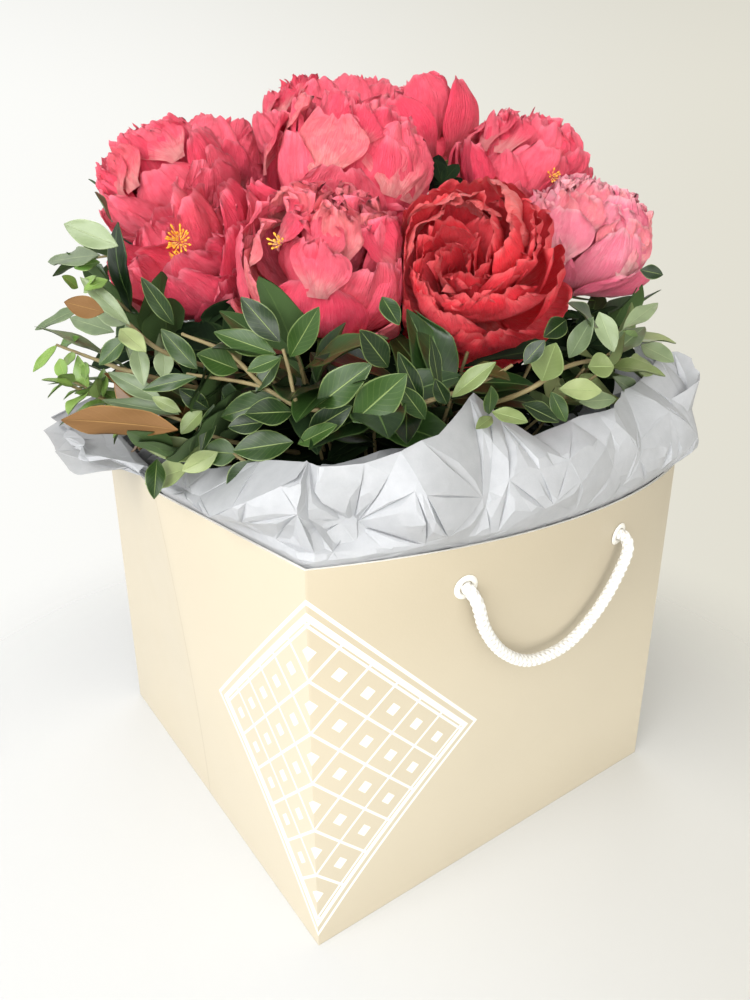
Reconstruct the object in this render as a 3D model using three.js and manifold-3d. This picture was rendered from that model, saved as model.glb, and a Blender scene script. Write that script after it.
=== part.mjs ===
// A bunch of coral peonies and evergreen sprays, standing on its cut ends in a paper carrier bag with tissue.
// Millimetres, +Z up. The origin is the middle of the bag's underside, and the bag's handled front faces -Y.
import * as THREE from "three";
import { mergeVertices } from "three/addons/utils/BufferGeometryUtils.js";
import Module from "manifold-3d";

const wasm = await Module();
wasm.setup();

// Bag: a folded card shell whose handled faces bow out and whose gussets bulge at a middle crease.
const BAG_WIDTH = 300;
const BAG_DEPTH = 314;
const BAG_HEIGHT = 244;
const BAG_WALL = 0.8;
const HEM_DEPTH = 40;
const FACE_BOW = 30;
const GUSSET_BULGE = 18;
const BOW_POWER = 1.4;
const FOLD_LEVEL = 100;
const CARD_THICKNESS = 1.6;
const CARD_CLEARANCE = 1;
const GAP = 0.3;

// Rope handles, each through two eyelets and knotted inside.
const ROPE_RADIUS = 3.4;
const ROPE_SIDES = 8;
const EYELET_X = 64;
const EYELET_Z = 219;
const EYELET_BORE = 4.2;
const EYELET_BARREL = 4.6;
const EYELET_FLANGE = 7.5;
const EYELET_LIP = 0.7;
const EYELET_CROWN = 1.4;
const ROPE_DROP = 61;
const ROPE_TAIL = 4;
const KNOT_RADIUS = 6.4;
const KNOT_FLATNESS = 0.8;

// The bunch: every stem narrows to a tied waist and spreads again to the card it stands on.
const WAIST_Z = 130;
const WAIST_SHARE = 0.14;
const FOOT_SPREAD = 1.9;
const FOOT_Z = BAG_WALL + GAP + CARD_THICKNESS + GAP;
const SPRAY_WAIST_RADIUS = 31;
const PEONY_STEM_RADIUS = 2.8;
const TWIG_RADIUS = 1.8;
const TWINE_RADIUS = 1.2;
const TWINE_SLACK = 1.6;

// Petals and leaves.
const PETAL_THICKNESS = 1;
const LEAF_THICKNESS = 0.8;
const PETAL_SOFTNESS = 9;
const NEIGHBOUR_MARGIN = 0.75;
const LEAF_CLEARANCE = 2.5;
const STAMEN_COUNT = 11;
const STAMEN_LENGTH = 11;
const GOLDEN_ANGLE = 2.4;

const vec = (x, y, z) => new THREE.Vector3(x, y, z);
const mix = THREE.MathUtils.lerp;
const rad = THREE.MathUtils.degToRad;
const smooth = (x, a, b) => THREE.MathUtils.smoothstep(x, a, b);

// A repeatable stream of numbers from 0 to 1.
function draws(seed) {
  let state = seed;
  return () => {
    state = (state * 16807) % 2147483647;
    return state / 2147483647;
  };
}

// A closed geometry as a solid.
function solidOf(geometry) {
  const bare = geometry.clone();
  bare.deleteAttribute("normal");
  bare.deleteAttribute("uv");
  const merged = mergeVertices(bare, 1e-4);
  return new wasm.Manifold(
    new wasm.Mesh({
      numProp: 3,
      vertProperties: Float32Array.from(merged.attributes.position.array),
      triVerts: Uint32Array.from(merged.index.array),
    }),
  );
}

// A solid back as a geometry.
function geometryOf(solid) {
  const mesh = solid.getMesh();
  return new THREE.BufferGeometry()
    .setAttribute("position", new THREE.BufferAttribute(mesh.vertProperties, 3))
    .setIndex(new THREE.BufferAttribute(mesh.triVerts, 1));
}

// Solids grown together into one body, without sealed hollows or loose scraps.
function fused(solids, tolerance = 0.1) {
  const bodies = wasm.Manifold.union(solids).simplify(tolerance).decompose();
  return bodies.reduce((best, body) => (body.volume() > best.volume() ? body : best));
}

// A geometry from points and triangles.
function geometryFrom(points, triangles) {
  const geometry = new THREE.BufferGeometry().setFromPoints(points);
  geometry.setIndex(triangles.flat());
  return geometry;
}

// A thin blade: rows of points from its base to its tip, thickened both ways. A row of one point is a corner.
function bladeGeometry(rows, thickness) {
  const starts = [];
  const middle = [];
  rows.forEach((row) => {
    starts.push(middle.length);
    middle.push(...row);
  });
  const at = (i, share) => rows[i][Math.round(share * (rows[i].length - 1))];
  const top = [];
  const bottom = [];
  rows.forEach((row, i) => {
    row.forEach((point, j) => {
      const share = row.length > 1 ? j / (row.length - 1) : 0.5;
      const before = rows[Math.max(i - 1, 0)];
      const wide = row.length > 1 ? row : rows[i === 0 ? 1 : i - 1];
      const last = wide.length - 1;
      const near = Math.round(share * last);
      const across = wide[Math.min(near + 1, last)].clone().sub(wide[Math.max(near - 1, 0)]);
      const ahead = at(Math.min(i + 1, rows.length - 1), share).clone();
      const along = ahead.sub(before.length > 1 ? at(Math.max(i - 1, 0), share) : before[0]);
      const normal = across.cross(along).normalize().multiplyScalar(thickness / 2);
      top.push(point.clone().add(normal));
      bottom.push(point.clone().sub(normal));
    });
  });
  const faces = [];
  for (let i = 0; i + 1 < rows.length; i++) {
    const [a, b] = [starts[i], starts[i + 1]];
    const [m, n] = [rows[i].length, rows[i + 1].length];
    if (m === 1) for (let j = 0; j + 1 < n; j++) faces.push([a, b + j + 1, b + j]);
    else if (n === 1) for (let j = 0; j + 1 < m; j++) faces.push([a + j, a + j + 1, b]);
    else {
      for (let j = 0; j + 1 < n; j++) {
        faces.push([a + j, a + j + 1, b + j + 1], [a + j, b + j + 1, b + j]);
      }
    }
  }
  const edges = new Map();
  faces.forEach(([a, b, c]) => {
    [[a, b], [b, c], [c, a]].forEach(([p, q]) => edges.set(`${p},${q}`, [p, q]));
  });
  const count = middle.length;
  const sides = [];
  for (const [p, q] of edges.values()) {
    if (!edges.has(`${q},${p}`)) sides.push([q, p, p + count], [q, p + count, q + count]);
  }
  const under = faces.map(([a, b, c]) => [a + count, c + count, b + count]);
  return geometryFrom([...top, ...bottom], [...faces, ...under, ...sides]);
}

// Closed rings of equal length joined in order, with both ends capped from their middles.
function loftGeometry(rings) {
  const size = rings[0].length;
  const points = rings.flat();
  const triangles = [];
  for (let i = 0; i + 1 < rings.length; i++) {
    for (let j = 0; j < size; j++) {
      const [a, b] = [i * size + j, i * size + ((j + 1) % size)];
      triangles.push([a, b, b + size], [a, b + size, a + size]);
    }
  }
  [0, rings.length - 1].forEach((i) => {
    const centre = rings[i].reduce((sum, p) => sum.add(p), vec(0, 0, 0)).divideScalar(size);
    const c = points.push(centre) - 1;
    for (let j = 0; j < size; j++) {
      const [a, b] = [i * size + j, i * size + ((j + 1) % size)];
      triangles.push(i === 0 ? [c, b, a] : [c, a, b]);
    }
  });
  return geometryFrom(points, triangles);
}

// A path that runs straight from each of its points to the next, with a point at every even share of it.
class StationPath extends THREE.Curve {
  constructor(points) {
    super();
    this.points = points;
  }

  getPoint(share) {
    const at = share * (this.points.length - 1);
    const i = Math.min(Math.floor(at), this.points.length - 2);
    return this.points[i].clone().lerp(this.points[i + 1], at - i);
  }

  getPointAt(share) {
    return this.getPoint(share);
  }

  getTangentAt(share) {
    return this.getTangent(share);
  }
}

// A round bar along a path, with a ring of corners at each even step.
function barGeometry(extrudePath, radius, sides, steps) {
  const section = new THREE.Shape();
  for (let i = 0; i < sides; i++) {
    const angle = (2 * Math.PI * i) / sides;
    section[i ? "lineTo" : "moveTo"](radius * Math.cos(angle), radius * Math.sin(angle));
  }
  return new THREE.ExtrudeGeometry(section, { steps, extrudePath });
}

// How far a handled face bows out, and a gusset bulges, at a height.
function faceBow(x, z) {
  return FACE_BOW * (1 - (2 * x / BAG_WIDTH) ** 2) * (z / BAG_HEIGHT) ** BOW_POWER;
}

function gussetBulge(y, z) {
  return GUSSET_BULGE * (1 - Math.abs(2 * y) / BAG_DEPTH) * (z / BAG_HEIGHT) ** BOW_POWER;
}

// A point of the bag's outside: turn runs 0 to 4 along the front, right, back and left faces.
function bagPoint(turn, z) {
  const side = Math.floor(((turn % 4) + 4) % 4);
  const share = (((turn % 4) + 4) % 4) - side;
  const x = (share - 0.5) * BAG_WIDTH;
  const y = (share - 0.5) * BAG_DEPTH;
  if (side === 0) return vec(x, -BAG_DEPTH / 2 - faceBow(x, z), z);
  if (side === 1) return vec(BAG_WIDTH / 2 + gussetBulge(y, z), y, z);
  if (side === 2) return vec(-x, BAG_DEPTH / 2 + faceBow(x, z), z);
  return vec(-BAG_WIDTH / 2 - gussetBulge(y, z), -y, z);
}

const FACE_PANELS = 6;
const GUSSET_PANELS = 4;
const BAG_TURNS = [0, 1, 2, 3].flatMap((side) => {
  const panels = side % 2 ? GUSSET_PANELS : FACE_PANELS;
  return Array.from({ length: panels }, (_, i) => side + i / panels);
});

// A ring of the bag at a height, set in from the outside by an even depth.
function bagRing(z, inset) {
  const outer = BAG_TURNS.map((turn) => bagPoint(turn, z));
  return outer.map((point, i) => {
    const before = outer[(i + outer.length - 1) % outer.length];
    const after = outer[(i + 1) % outer.length];
    const into = (a, b) => vec(a.y - b.y, b.x - a.x, 0).normalize();
    const [n1, n2] = [into(before, point), into(point, after)];
    const mitre = n1.clone().add(n2).normalize();
    return point.clone().addScaledVector(mitre, inset / mitre.dot(n1));
  });
}

// Centre and outward direction of each eyelet.
const eyelets = [-1, 1].flatMap((face) =>
  [-1, 1].map((side) => {
    const x = side * EYELET_X;
    const slopeX = (2 * FACE_BOW * x * (EYELET_Z / BAG_HEIGHT) ** BOW_POWER) / (BAG_WIDTH / 2) ** 2;
    const slopeZ = (faceBow(x, EYELET_Z + 1) - faceBow(x, EYELET_Z - 1)) / 2;
    const centre = vec(x, face * (BAG_DEPTH / 2 + faceBow(x, EYELET_Z)), EYELET_Z);
    const out = vec(slopeX, face, -slopeZ).normalize();
    return { face, side, centre, out };
  }),
);

// A geometry made round +Y, turned to face along a direction from a place.
function facing(geometry, place, direction) {
  const turn = new THREE.Quaternion().setFromUnitVectors(vec(0, 1, 0), direction);
  return geometry.applyQuaternion(turn).translate(place.x, place.y, place.z);
}

// The folded shell: an outer loft less an inner one at the same levels, with a doubled hem and punched holes.
function makeBag() {
  const hemFoot = BAG_HEIGHT - HEM_DEPTH;
  const levels = [0, FOLD_LEVEL, hemFoot - GAP, hemFoot, BAG_HEIGHT];
  const outside = levels.map((z) => bagRing(z, 0));
  const hollow = levels.map((z) => bagRing(z, z < hemFoot ? BAG_WALL : 2 * BAG_WALL));
  hollow[0].forEach((point) => point.setZ(BAG_WALL));
  hollow.at(-1).forEach((point) => point.setZ(BAG_HEIGHT + 1));
  const shell = solidOf(loftGeometry(outside)).subtract(solidOf(loftGeometry(hollow)));
  const holes = eyelets.map(({ centre, out }) => {
    const punch = new THREE.CylinderGeometry(EYELET_BARREL + 2 * GAP, EYELET_BARREL + 2 * GAP, 12, 10);
    return solidOf(facing(punch, centre, out));
  });
  return shell.subtract(wasm.Manifold.union(holes));
}

// The stiff card that lies on the bag's floor.
function makeCard() {
  const inset = BAG_WALL + CARD_CLEARANCE;
  return solidOf(new THREE.BoxGeometry(BAG_WIDTH - 2 * inset, BAG_DEPTH - 2 * inset, CARD_THICKNESS));
}

// A flanged eyelet about +Y, its flange on the outside of the wall.
function makeEyelet() {
  const depth = 2 * BAG_WALL + EYELET_LIP;
  const profile = [
    [EYELET_BORE, -depth],
    [EYELET_BARREL, -depth],
    [EYELET_BARREL, GAP],
    [EYELET_FLANGE, GAP],
    [EYELET_BARREL, EYELET_CROWN],
    [EYELET_BORE, -depth],
  ];
  return solidOf(new THREE.LatheGeometry(profile.map(([r, y]) => new THREE.Vector2(r, y)), 8));
}

// One half of a handle's route, from inside the bag down to the bottom of its loop.
function ropeHalf({ face, centre, out }) {
  const inner = centre.clone().addScaledVector(out, -2 * BAG_WALL - ROPE_TAIL);
  const outer = centre.clone().addScaledVector(out, 4.5);
  const hang = (x, dy, dz) => vec(centre.x * x, centre.y + face * dy, centre.z + dz);
  return [inner, centre.clone(), outer, hang(0.99, 8.6, -6), hang(0.88, 8.2, -24), hang(0.64, 7.2, -44)];
}

function makeRope(face) {
  const [left, right] = eyelets.filter((eyelet) => eyelet.face === face);
  const low = vec(0, left.centre.y + face * 6.6, EYELET_Z - ROPE_DROP);
  const lows = [-0.3, 0, 0.3].map((x) => vec(x * EYELET_X, low.y, low.z + (x ? 2.8 : 0)));
  const route = [...ropeHalf(left), ...lows, ...ropeHalf(right).reverse()];
  return solidOf(barGeometry(new THREE.CatmullRomCurve3(route), ROPE_RADIUS, ROPE_SIDES, 18));
}

// The knot at a rope's end, about +Y.
function makeKnot() {
  return solidOf(new THREE.SphereGeometry(KNOT_RADIUS, 6, 5).scale(1, KNOT_FLATNESS, 1));
}

// Where an eyelet's knot sits, just past the end of the rope.
function knotPlace({ centre, out }) {
  return centre.clone().addScaledVector(out, -2 * BAG_WALL - ROPE_TAIL - GAP - KNOT_RADIUS * KNOT_FLATNESS);
}

// Peony heads: centre, reach of the petals, the way the bloom faces, its form, the turn of its first petal in
// degrees and, where they differ, its colour and how far its stem stands aside at the waist.
const BLOOMS = [
  { name: "01", centre: [-113, 41, 384], reach: 54, faces: [-0.6, -0.11, 0.8], form: "cup", turn: 20 },
  { name: "02", centre: [-100, 112, 428], reach: 50, faces: [-0.47, 0.23, 0.85], form: "ball", turn: 75 },
  { name: "03", centre: [-30, 162, 443], reach: 48, faces: [0.31, 0.43, 0.85], form: "hidden", turn: 10 },
  { name: "04", centre: [14, 103, 468], reach: 45, faces: [-0.03, 0.31, 0.95], form: "ball", turn: 50 },
  { name: "05", centre: [-8, 17, 433], reach: 59, faces: [0.21, -0.05, 0.98], form: "ball", turn: 35 },
  { name: "06", centre: [95, 150, 484], reach: 46, faces: [0.48, 0.3, 0.83], form: "hidden", turn: 0 },
  { name: "07", centre: [104, 71, 474], reach: 46, faces: [-0.12, 0.36, 0.93], form: "goblet", turn: 15 },
  { name: "08", centre: [120, -18, 434], reach: 53, faces: [0.25, -0.09, 0.96], form: "ball", turn: 60 },
  { name: "09", centre: [-58, -35, 374], reach: 58, faces: [-0.11, -0.34, 0.94], form: "ball", turn: 25 },
  {
    name: "10", centre: [14, -88, 374], reach: 56,
    faces: [-0.61, -0.6, 0.52], form: "rose", turn: 5, hue: "red",
  },
  {
    name: "11", centre: [122, -76, 390], reach: 52,
    faces: [0.05, -0.21, 0.98], form: "ball", turn: 40, hue: "pink",
  },
  { name: "12", centre: [35, 158, 400], reach: 48, faces: [0.1, 0.62, 0.78], form: "hidden", turn: 30 },
  {
    name: "13", centre: [154, 64, 400], reach: 47,
    faces: [0.55, 0.55, 0.63], form: "rose", turn: 55, lean: [4, -10],
  },
].map((bloom) => {
  const axis = vec(...bloom.faces).normalize();
  const across = vec(0, 0, 1).cross(axis).normalize();
  return { ...bloom, middle: vec(...bloom.centre), axis, across, up: axis.clone().cross(across) };
});

// Petal layers of each form: angles in degrees from the bloom's own level, the rest in shares of its reach.
const FORMS = {
  ball: {
    heart: { girth: 0.5, low: -0.3, top: 0.6 },
    layers: [
      { count: 5, foot: [0.22, -0.55], length: 1.52, width: 1.12, from: -4, to: 112, cup: 1.05, rows: 4 },
      { count: 4, foot: [0.28, -0.3], length: 1.25, width: 1.0, from: 24, to: 118, cup: 1.2, rows: 3 },
    ],
  },
  hidden: {
    heart: { girth: 0.5, low: -0.3, top: 0.6 },
    layers: [
      { count: 5, foot: [0.22, -0.55], length: 1.52, width: 1.12, from: -4, to: 112, cup: 1.05, rows: 3 },
      { count: 3, foot: [0.28, -0.3], length: 1.25, width: 1.1, from: 24, to: 118, cup: 1.2, rows: 3 },
    ],
  },
  cup: {
    heart: { girth: 0.38, low: -0.5, top: -0.28 },
    layers: [
      { count: 5, foot: [0.22, -0.55], length: 1.52, width: 1.12, from: -4, to: 100, cup: 1.05, rows: 4 },
      { count: 4, foot: [0.22, -0.42], length: 1.26, width: 1.0, from: 10, to: 108, cup: 1.2, rows: 3 },
    ],
  },
  rose: {
    heart: { girth: 0.46, low: -0.35, top: 0.34 },
    layers: [
      { count: 5, foot: [0.22, -0.55], length: 1.52, width: 1.12, from: -4, to: 106, cup: 1.05, rows: 4 },
      { count: 4, foot: [0.26, -0.3], length: 1.2, width: 1.0, from: 18, to: 112, cup: 1.2, rows: 3 },
    ],
  },
  goblet: {
    heart: { girth: 0.46, low: -0.3, top: 0.42 },
    layers: [
      { count: 4, foot: [0.2, -0.57], length: 1.6, width: 1.36, from: 2, to: 112, cup: 1.1, rows: 4 },
      { count: 4, foot: [0.26, -0.3], length: 1.2, width: 0.9, from: 30, to: 112, cup: 1.25, rows: 3 },
    ],
  },
};
const PETAL_STATIONS = { 3: [0, 0.5, 1], 4: [0, 0.4, 0.76, 1] };
const PETAL_TWIST = 0.13;
const HEEL_LEVEL = -0.66;
const HEEL_RADIUS = 0.16;
const CALYX_DEPTH = 8;

// Half-width of a petal along its length, as a share of its full half-width.
function petalOutline(v) {
  const rising = 0.3 + 0.7 * smooth(v, 0, 0.6);
  return v > 0.7 ? rising * Math.sqrt(1 - ((v - 0.7) / 0.52) ** 2) : rising;
}

// Bends a point softly back where it would pass a limit: travel is how far past the limit it is.
function held(travel) {
  if (travel <= -PETAL_SOFTNESS) return 0;
  return -PETAL_SOFTNESS * Math.exp(-(travel + PETAL_SOFTNESS) / PETAL_SOFTNESS) - travel;
}

// Keeps a point of a bloom inside its reach and on its own side of the blooms that press on it.
function pressed(point, bloom) {
  const away = point.clone().sub(bloom.middle);
  const far = away.length();
  if (far > 1) point.addScaledVector(away, held(far - bloom.reach) / far);
  BLOOMS.forEach((other) => {
    if (other === bloom) return;
    const towards = other.middle.clone().sub(bloom.middle);
    const apart = towards.length();
    if (apart > bloom.reach + other.reach) return;
    towards.divideScalar(apart);
    const share = (apart ** 2 + bloom.reach ** 2 - other.reach ** 2) / (2 * apart);
    const travel = point.clone().sub(bloom.middle).dot(towards) - share + NEIGHBOUR_MARGIN;
    point.addScaledVector(towards, held(travel));
  });
  return point;
}

// A point in a bloom's own frame, placed in the bag's.
function placed(bloom, x, y, z) {
  return bloom.middle
    .clone()
    .addScaledVector(bloom.across, x)
    .addScaledVector(bloom.up, y)
    .addScaledVector(bloom.axis, z);
}

// A point of a petal: u runs from -1 to 1 across it and v from 0 at its foot to 1 at its edge.
function petalPoint(bloom, petal, u, v) {
  const R = bloom.reach;
  const length = petal.length * R;
  const from = rad(petal.from);
  const bend = (rad(petal.to) - from) / length;
  const s = length * v * (1 - 0.14 * Math.abs(u) ** 2.2);
  const angle = from + bend * s;
  const r = petal.foot[0] * R + (Math.sin(angle) - Math.sin(from)) / bend;
  const z = petal.foot[1] * R + (Math.cos(from) - Math.cos(angle)) / bend;
  const wrap = Math.max(r, 0.3 * R) / petal.cup;
  const turn = (u * petal.width * R * petalOutline(v)) / 2 / wrap;
  const wave = 0.05 * R * v * v * Math.sin(2.2 * u + petal.wave);
  const twist = PETAL_TWIST * R * u * Math.min(1, 2 * v);
  const out = r - wrap * (1 - Math.cos(turn)) + wave * Math.sin(angle) + twist;
  const side = wrap * Math.sin(turn);
  const [c, d] = [Math.cos(petal.at), Math.sin(petal.at)];
  return pressed(placed(bloom, out * c - side * d, out * d + side * c, z - wave * Math.cos(angle)), bloom);
}

// The petals of a bloom, layer by layer from the outside in.
function petalsOf(bloom) {
  const next = draws(1000 + 37 * Number(bloom.name));
  return FORMS[bloom.form].layers.flatMap((layer, k) =>
    Array.from({ length: layer.count }, (_, i) => {
      const jitter = next() - 0.5;
      const size = 1 + 0.12 * (next() - 0.5);
      return {
        ...layer,
        at: rad(bloom.turn + 36 * k) + ((i + 0.3 * jitter) * 2 * Math.PI) / layer.count,
        length: layer.length * size,
        to: layer.to + 12 * jitter,
        wave: 2 * Math.PI * next(),
      };
    }),
  );
}

// The ruffled heart of a bloom, down to the heel that sits on its calyx.
function makeHeart(bloom) {
  const R = bloom.reach;
  const { girth, low, top } = FORMS[bloom.form].heart;
  const outline = [
    [HEEL_RADIUS, HEEL_LEVEL],
    [0.3, -0.5],
    [girth, mix(low, top, 0.3)],
    [girth * 0.86, mix(low, top, 0.75)],
    [girth * 0.4, top],
  ];
  const sides = 6;
  const rings = outline.map(([r, z], k) =>
    Array.from({ length: sides }, (_, i) => {
      const angle = (2 * Math.PI * i) / sides;
      const ruffle = k < 2 ? 1 : 1 + 0.14 * Math.sin(3 * angle + 2.1 * k);
      const point = placed(bloom, r * R * ruffle * Math.cos(angle), r * R * ruffle * Math.sin(angle), z * R);
      return k < 1 ? point : pressed(point, bloom);
    }),
  );
  return solidOf(loftGeometry(rings));
}

// A bloom's heart and petals, grown together.
function makeBloom(bloom) {
  const petals = petalsOf(bloom).map((petal) => {
    const rows = PETAL_STATIONS[petal.rows].map((v) =>
      (v ? [-1, 0, 1] : [0]).map((u) => petalPoint(bloom, petal, u, v)),
    );
    return solidOf(bladeGeometry(rows, PETAL_THICKNESS));
  });
  return fused([makeHeart(bloom), ...petals]);
}

// The waist and foot of a stem that passes the waist at a place. It runs on past its foot, to be cut level.
function stemFoot(x, y) {
  return [vec(x, y, WAIST_Z), vec(x * FOOT_SPREAD, y * FOOT_SPREAD, FOOT_Z - 2)];
}

// Cuts a stem off level, just above the card.
const cutLevel = (stem) => stem.trimByPlane([0, 0, 1], FOOT_Z);

// A peony's stem, with a calyx under the bloom whose three sepals spread as points of a star.
function makePeonyStem(bloom) {
  const R = bloom.reach;
  const heel = HEEL_LEVEL * R - GAP;
  const levels = [
    [heel - CALYX_DEPTH, 0.07 * R, 0.07 * R],
    [heel - 1.4, 0.15 * R, 0.46 * R],
    [heel, 0.14 * R, 0.42 * R],
  ];
  const rings = levels.map(([level, hollow, point]) =>
    Array.from({ length: 6 }, (_, i) => {
      const at = rad(bloom.turn + 60 * i);
      const reach = i % 2 ? hollow : point;
      return placed(bloom, reach * Math.cos(at), reach * Math.sin(at), level);
    }),
  );
  const neck = placed(bloom, 0, 0, heel - 4);
  const below = placed(bloom, 0, 0, heel - 34);
  const [leanX, leanY] = bloom.lean ?? [0, 0];
  const [waist, foot] = stemFoot(WAIST_SHARE * bloom.middle.x + leanX, WAIST_SHARE * bloom.middle.y + leanY);
  const route = new THREE.CatmullRomCurve3([neck, below, waist, foot]).getPoints(6);
  const stem = cutLevel(solidOf(barGeometry(new StationPath(route), PEONY_STEM_RADIUS, 4, route.length - 1)));
  return fused([solidOf(loftGeometry(rings)), stem]);
}

// The stamens of the open bloom, about +Y: slim filaments that widen to their anthers, fused on a low mound.
function makeStamens(bloom) {
  const R = bloom.reach;
  const base = FORMS[bloom.form].heart.top * R + GAP;
  const mound = new THREE.CylinderGeometry(0.16 * R, 0.2 * R, 2.4, 8).translate(0, base + 1.2, 0);
  const filaments = Array.from({ length: STAMEN_COUNT }, (_, i) => {
    const spread = Math.sqrt((i + 0.5) / (STAMEN_COUNT + 1));
    const at = GOLDEN_ANGLE * i;
    const length = STAMEN_LENGTH + 3 * Math.cos(5 * i);
    const filament = new THREE.CylinderGeometry(1.2, 0.6, length, 3).translate(0, length / 2, 0);
    filament.rotateZ(-0.5 * spread).rotateY(at);
    const out = 0.13 * R * spread;
    return solidOf(filament.translate(out * Math.cos(at), base + 1, -out * Math.sin(at)));
  });
  return fused([solidOf(mound), ...filaments]);
}

// Twig sprays: where each ends, the way it passes the waist in degrees, its reach from the middle at the rim,
// and its leaves, which are borne along the outer share of the twig.
const SPRAYS = [
  {
    name: "12", tip: [-158, -40, 290], waist: -172, spread: 112, level: 272,
    kind: "bronze", leaves: 3, share: 0.4,
  },
  { name: "01", tip: [-118, -98, 340], waist: -135, spread: 86, kind: "broad", leaves: 7, share: 0.5 },
  { name: "02", tip: [-88, -126, 312], waist: -120, spread: 92, kind: "broad", leaves: 8, share: 0.6 },
  { name: "03", tip: [-38, -132, 322], waist: -103, spread: 96, kind: "broad", leaves: 8, share: 0.6 },
  { name: "04", tip: [66, -158, 322], waist: -76, spread: 94, kind: "round", leaves: 8, share: 0.65 },
  { name: "05", tip: [128, -124, 330], waist: -54, spread: 92, kind: "round", leaves: 8, share: 0.65 },
  { name: "06", tip: [150, -102, 340], waist: -8, spread: 94, kind: "broad", leaves: 7, share: 0.55 },
  { name: "07", tip: [-166, -64, 304], waist: -148, spread: 96, kind: "broad", leaves: 7, share: 0.6 },
  { name: "08", tip: [-180, -66, 284], waist: -160, spread: 100, kind: "broad", leaves: 6, share: 0.5 },
  { name: "09", tip: [-168, 32, 318], waist: 160, spread: 98, kind: "narrow", leaves: 9, share: 0.6 },
  { name: "10", tip: [-170, 24, 360], waist: 146, spread: 84, kind: "broad", leaves: 7, share: 0.5 },
  { name: "11", tip: [-206, 8, 314], waist: 174, spread: 104, kind: "small", leaves: 9, share: 0.6 },
  { name: "13", tip: [-112, 186, 420], waist: 118, spread: 88, kind: "broad", leaves: 5, share: 0.6 },
  { name: "14", tip: [-14, 210, 352], waist: 84, spread: 98, kind: "broad", leaves: 5, share: 0.6 },
  { name: "15", tip: [124, 190, 366], waist: 44, spread: 96, kind: "narrow", leaves: 6, share: 0.6 },
  { name: "16", tip: [198, 66, 356], waist: 16, spread: 98, kind: "broad", leaves: 5, share: 0.6 },
];
const BEND_LEAN = 0.6;
const LEAVES = {
  broad: { length: 54, width: 23, droop: 0.16, folded: true },
  narrow: { length: 52, width: 12, droop: 0.2, lance: true },
  round: { length: 35, width: 24, droop: 0.08 },
  bronze: { length: 76, width: 29, droop: 0.18, folded: true },
  small: { length: 21, width: 12, droop: 0.2, lance: true },
};
const LEAF_TRIES = 10;
const LEAF_AIR = 0.6;
const MOST_PUSH = 14;
const TWIG_ARCH = 4;
const OVAL_LEAF = [[0, 0], [0.36, 0.5], [0.74, 0.4], [1, 0]];
const LANCE_LEAF = [[0, 0], [0.45, 0.5], [1, 0]];

// Moves a point out of every bloom's reach, with a clearance.
function besideBlooms(point, clearance) {
  BLOOMS.forEach((bloom) => {
    const away = point.clone().sub(bloom.middle);
    const far = away.length();
    const least = bloom.reach + clearance;
    if (far < least) point.addScaledVector(away, least / far - 1);
  });
  return point;
}

// The stations of a spray's twig, from the card through the waist to its tip, clear of the blooms.
function twigStations(spray) {
  const tip = vec(...spray.tip);
  const from = rad(spray.waist);
  const ahead = Math.atan2(tip.y, tip.x) - from;
  const swing = Math.atan2(Math.sin(ahead), Math.cos(ahead));
  const towards = from + BEND_LEAN * swing;
  const level = spray.level ?? BAG_HEIGHT;
  const bend = vec(spray.spread * Math.cos(towards), spray.spread * Math.sin(towards), level);
  const [waist, foot] = stemFoot(SPRAY_WAIST_RADIUS * Math.cos(from), SPRAY_WAIST_RADIUS * Math.sin(from));
  const between = bend.clone().lerp(tip, 0.5).add(vec(0, 0, TWIG_ARCH));
  const smoothed = new THREE.CatmullRomCurve3([foot, waist, bend, between, tip]).getPoints(8);
  return [foot, waist, ...smoothed.slice(3).map((p) => besideBlooms(p, LEAF_CLEARANCE))];
}

// A leaf's frame: it leaves the twig at a slant, a golden angle on from the last, with its face to the light.
function leafFrame(spray, path, index, turn, lift) {
  const next = draws(7000 + 131 * Number(spray.name) + 17 * index);
  const share = (index + 0.6) / spray.leaves;
  const t = 1 - spray.share * 0.5 * (1 - share);
  const last = index === spray.leaves - 1;
  const base = path.getPoint(t);
  const along = path.getTangent(t);
  const side = along.clone().cross(vec(0, 0, 1)).normalize();
  const over = side.clone().cross(along);
  const about = GOLDEN_ANGLE * index + 0.8 * (next() - 0.5) + turn;
  const slant = last ? 0.15 : rad(48 + 22 * (next() - 0.5));
  const outward = side.multiplyScalar(Math.cos(about)).addScaledVector(over, 0.75 * Math.sin(about));
  const direction = along.clone().multiplyScalar(Math.cos(slant)).addScaledVector(outward, Math.sin(slant));
  direction.z += lift;
  direction.normalize();
  const face = vec(base.x / 600, base.y / 600, 1).addScaledVector(along, 0.5);
  const across = direction.clone().cross(face).normalize();
  const normal = across.clone().cross(direction);
  const size = 0.82 + 0.36 * next();
  return { base, direction, across, normal, size };
}

// A point of a leaf: u runs from -1 to 1 across it and v from stalk to tip, and half is its half-width there.
function leafPoint(frame, leaf, half, u, v) {
  const length = leaf.length * frame.size;
  const width = leaf.width * frame.size * half;
  const fold = 0.22 * width * Math.abs(u);
  const point = frame.base.clone().addScaledVector(frame.direction, length * v);
  point.addScaledVector(frame.across, u * width);
  return point.addScaledVector(frame.normal, fold - leaf.droop * length * v * v);
}

// The rows of a leaf's points, with a crease down the middle of a folded one.
function leafRows(frame, leaf) {
  return (leaf.lance ? LANCE_LEAF : OVAL_LEAF).map(([v, half]) => {
    const places = leaf.folded ? [-1, 0, 1] : [-1, 1];
    return (half ? places : [0]).map((u) => leafPoint(frame, leaf, half, u, v));
  });
}

// True where a solid meets none of the others.
function isClear(solid, others) {
  const box = solid.boundingBox();
  return others.every((other) => {
    const apart = [0, 1, 2].some((k) => box.min[k] > other.box.max[k] || box.max[k] < other.box.min[k]);
    return apart || solid.intersect(other.solid).volume() < 1e-4;
  });
}

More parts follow.
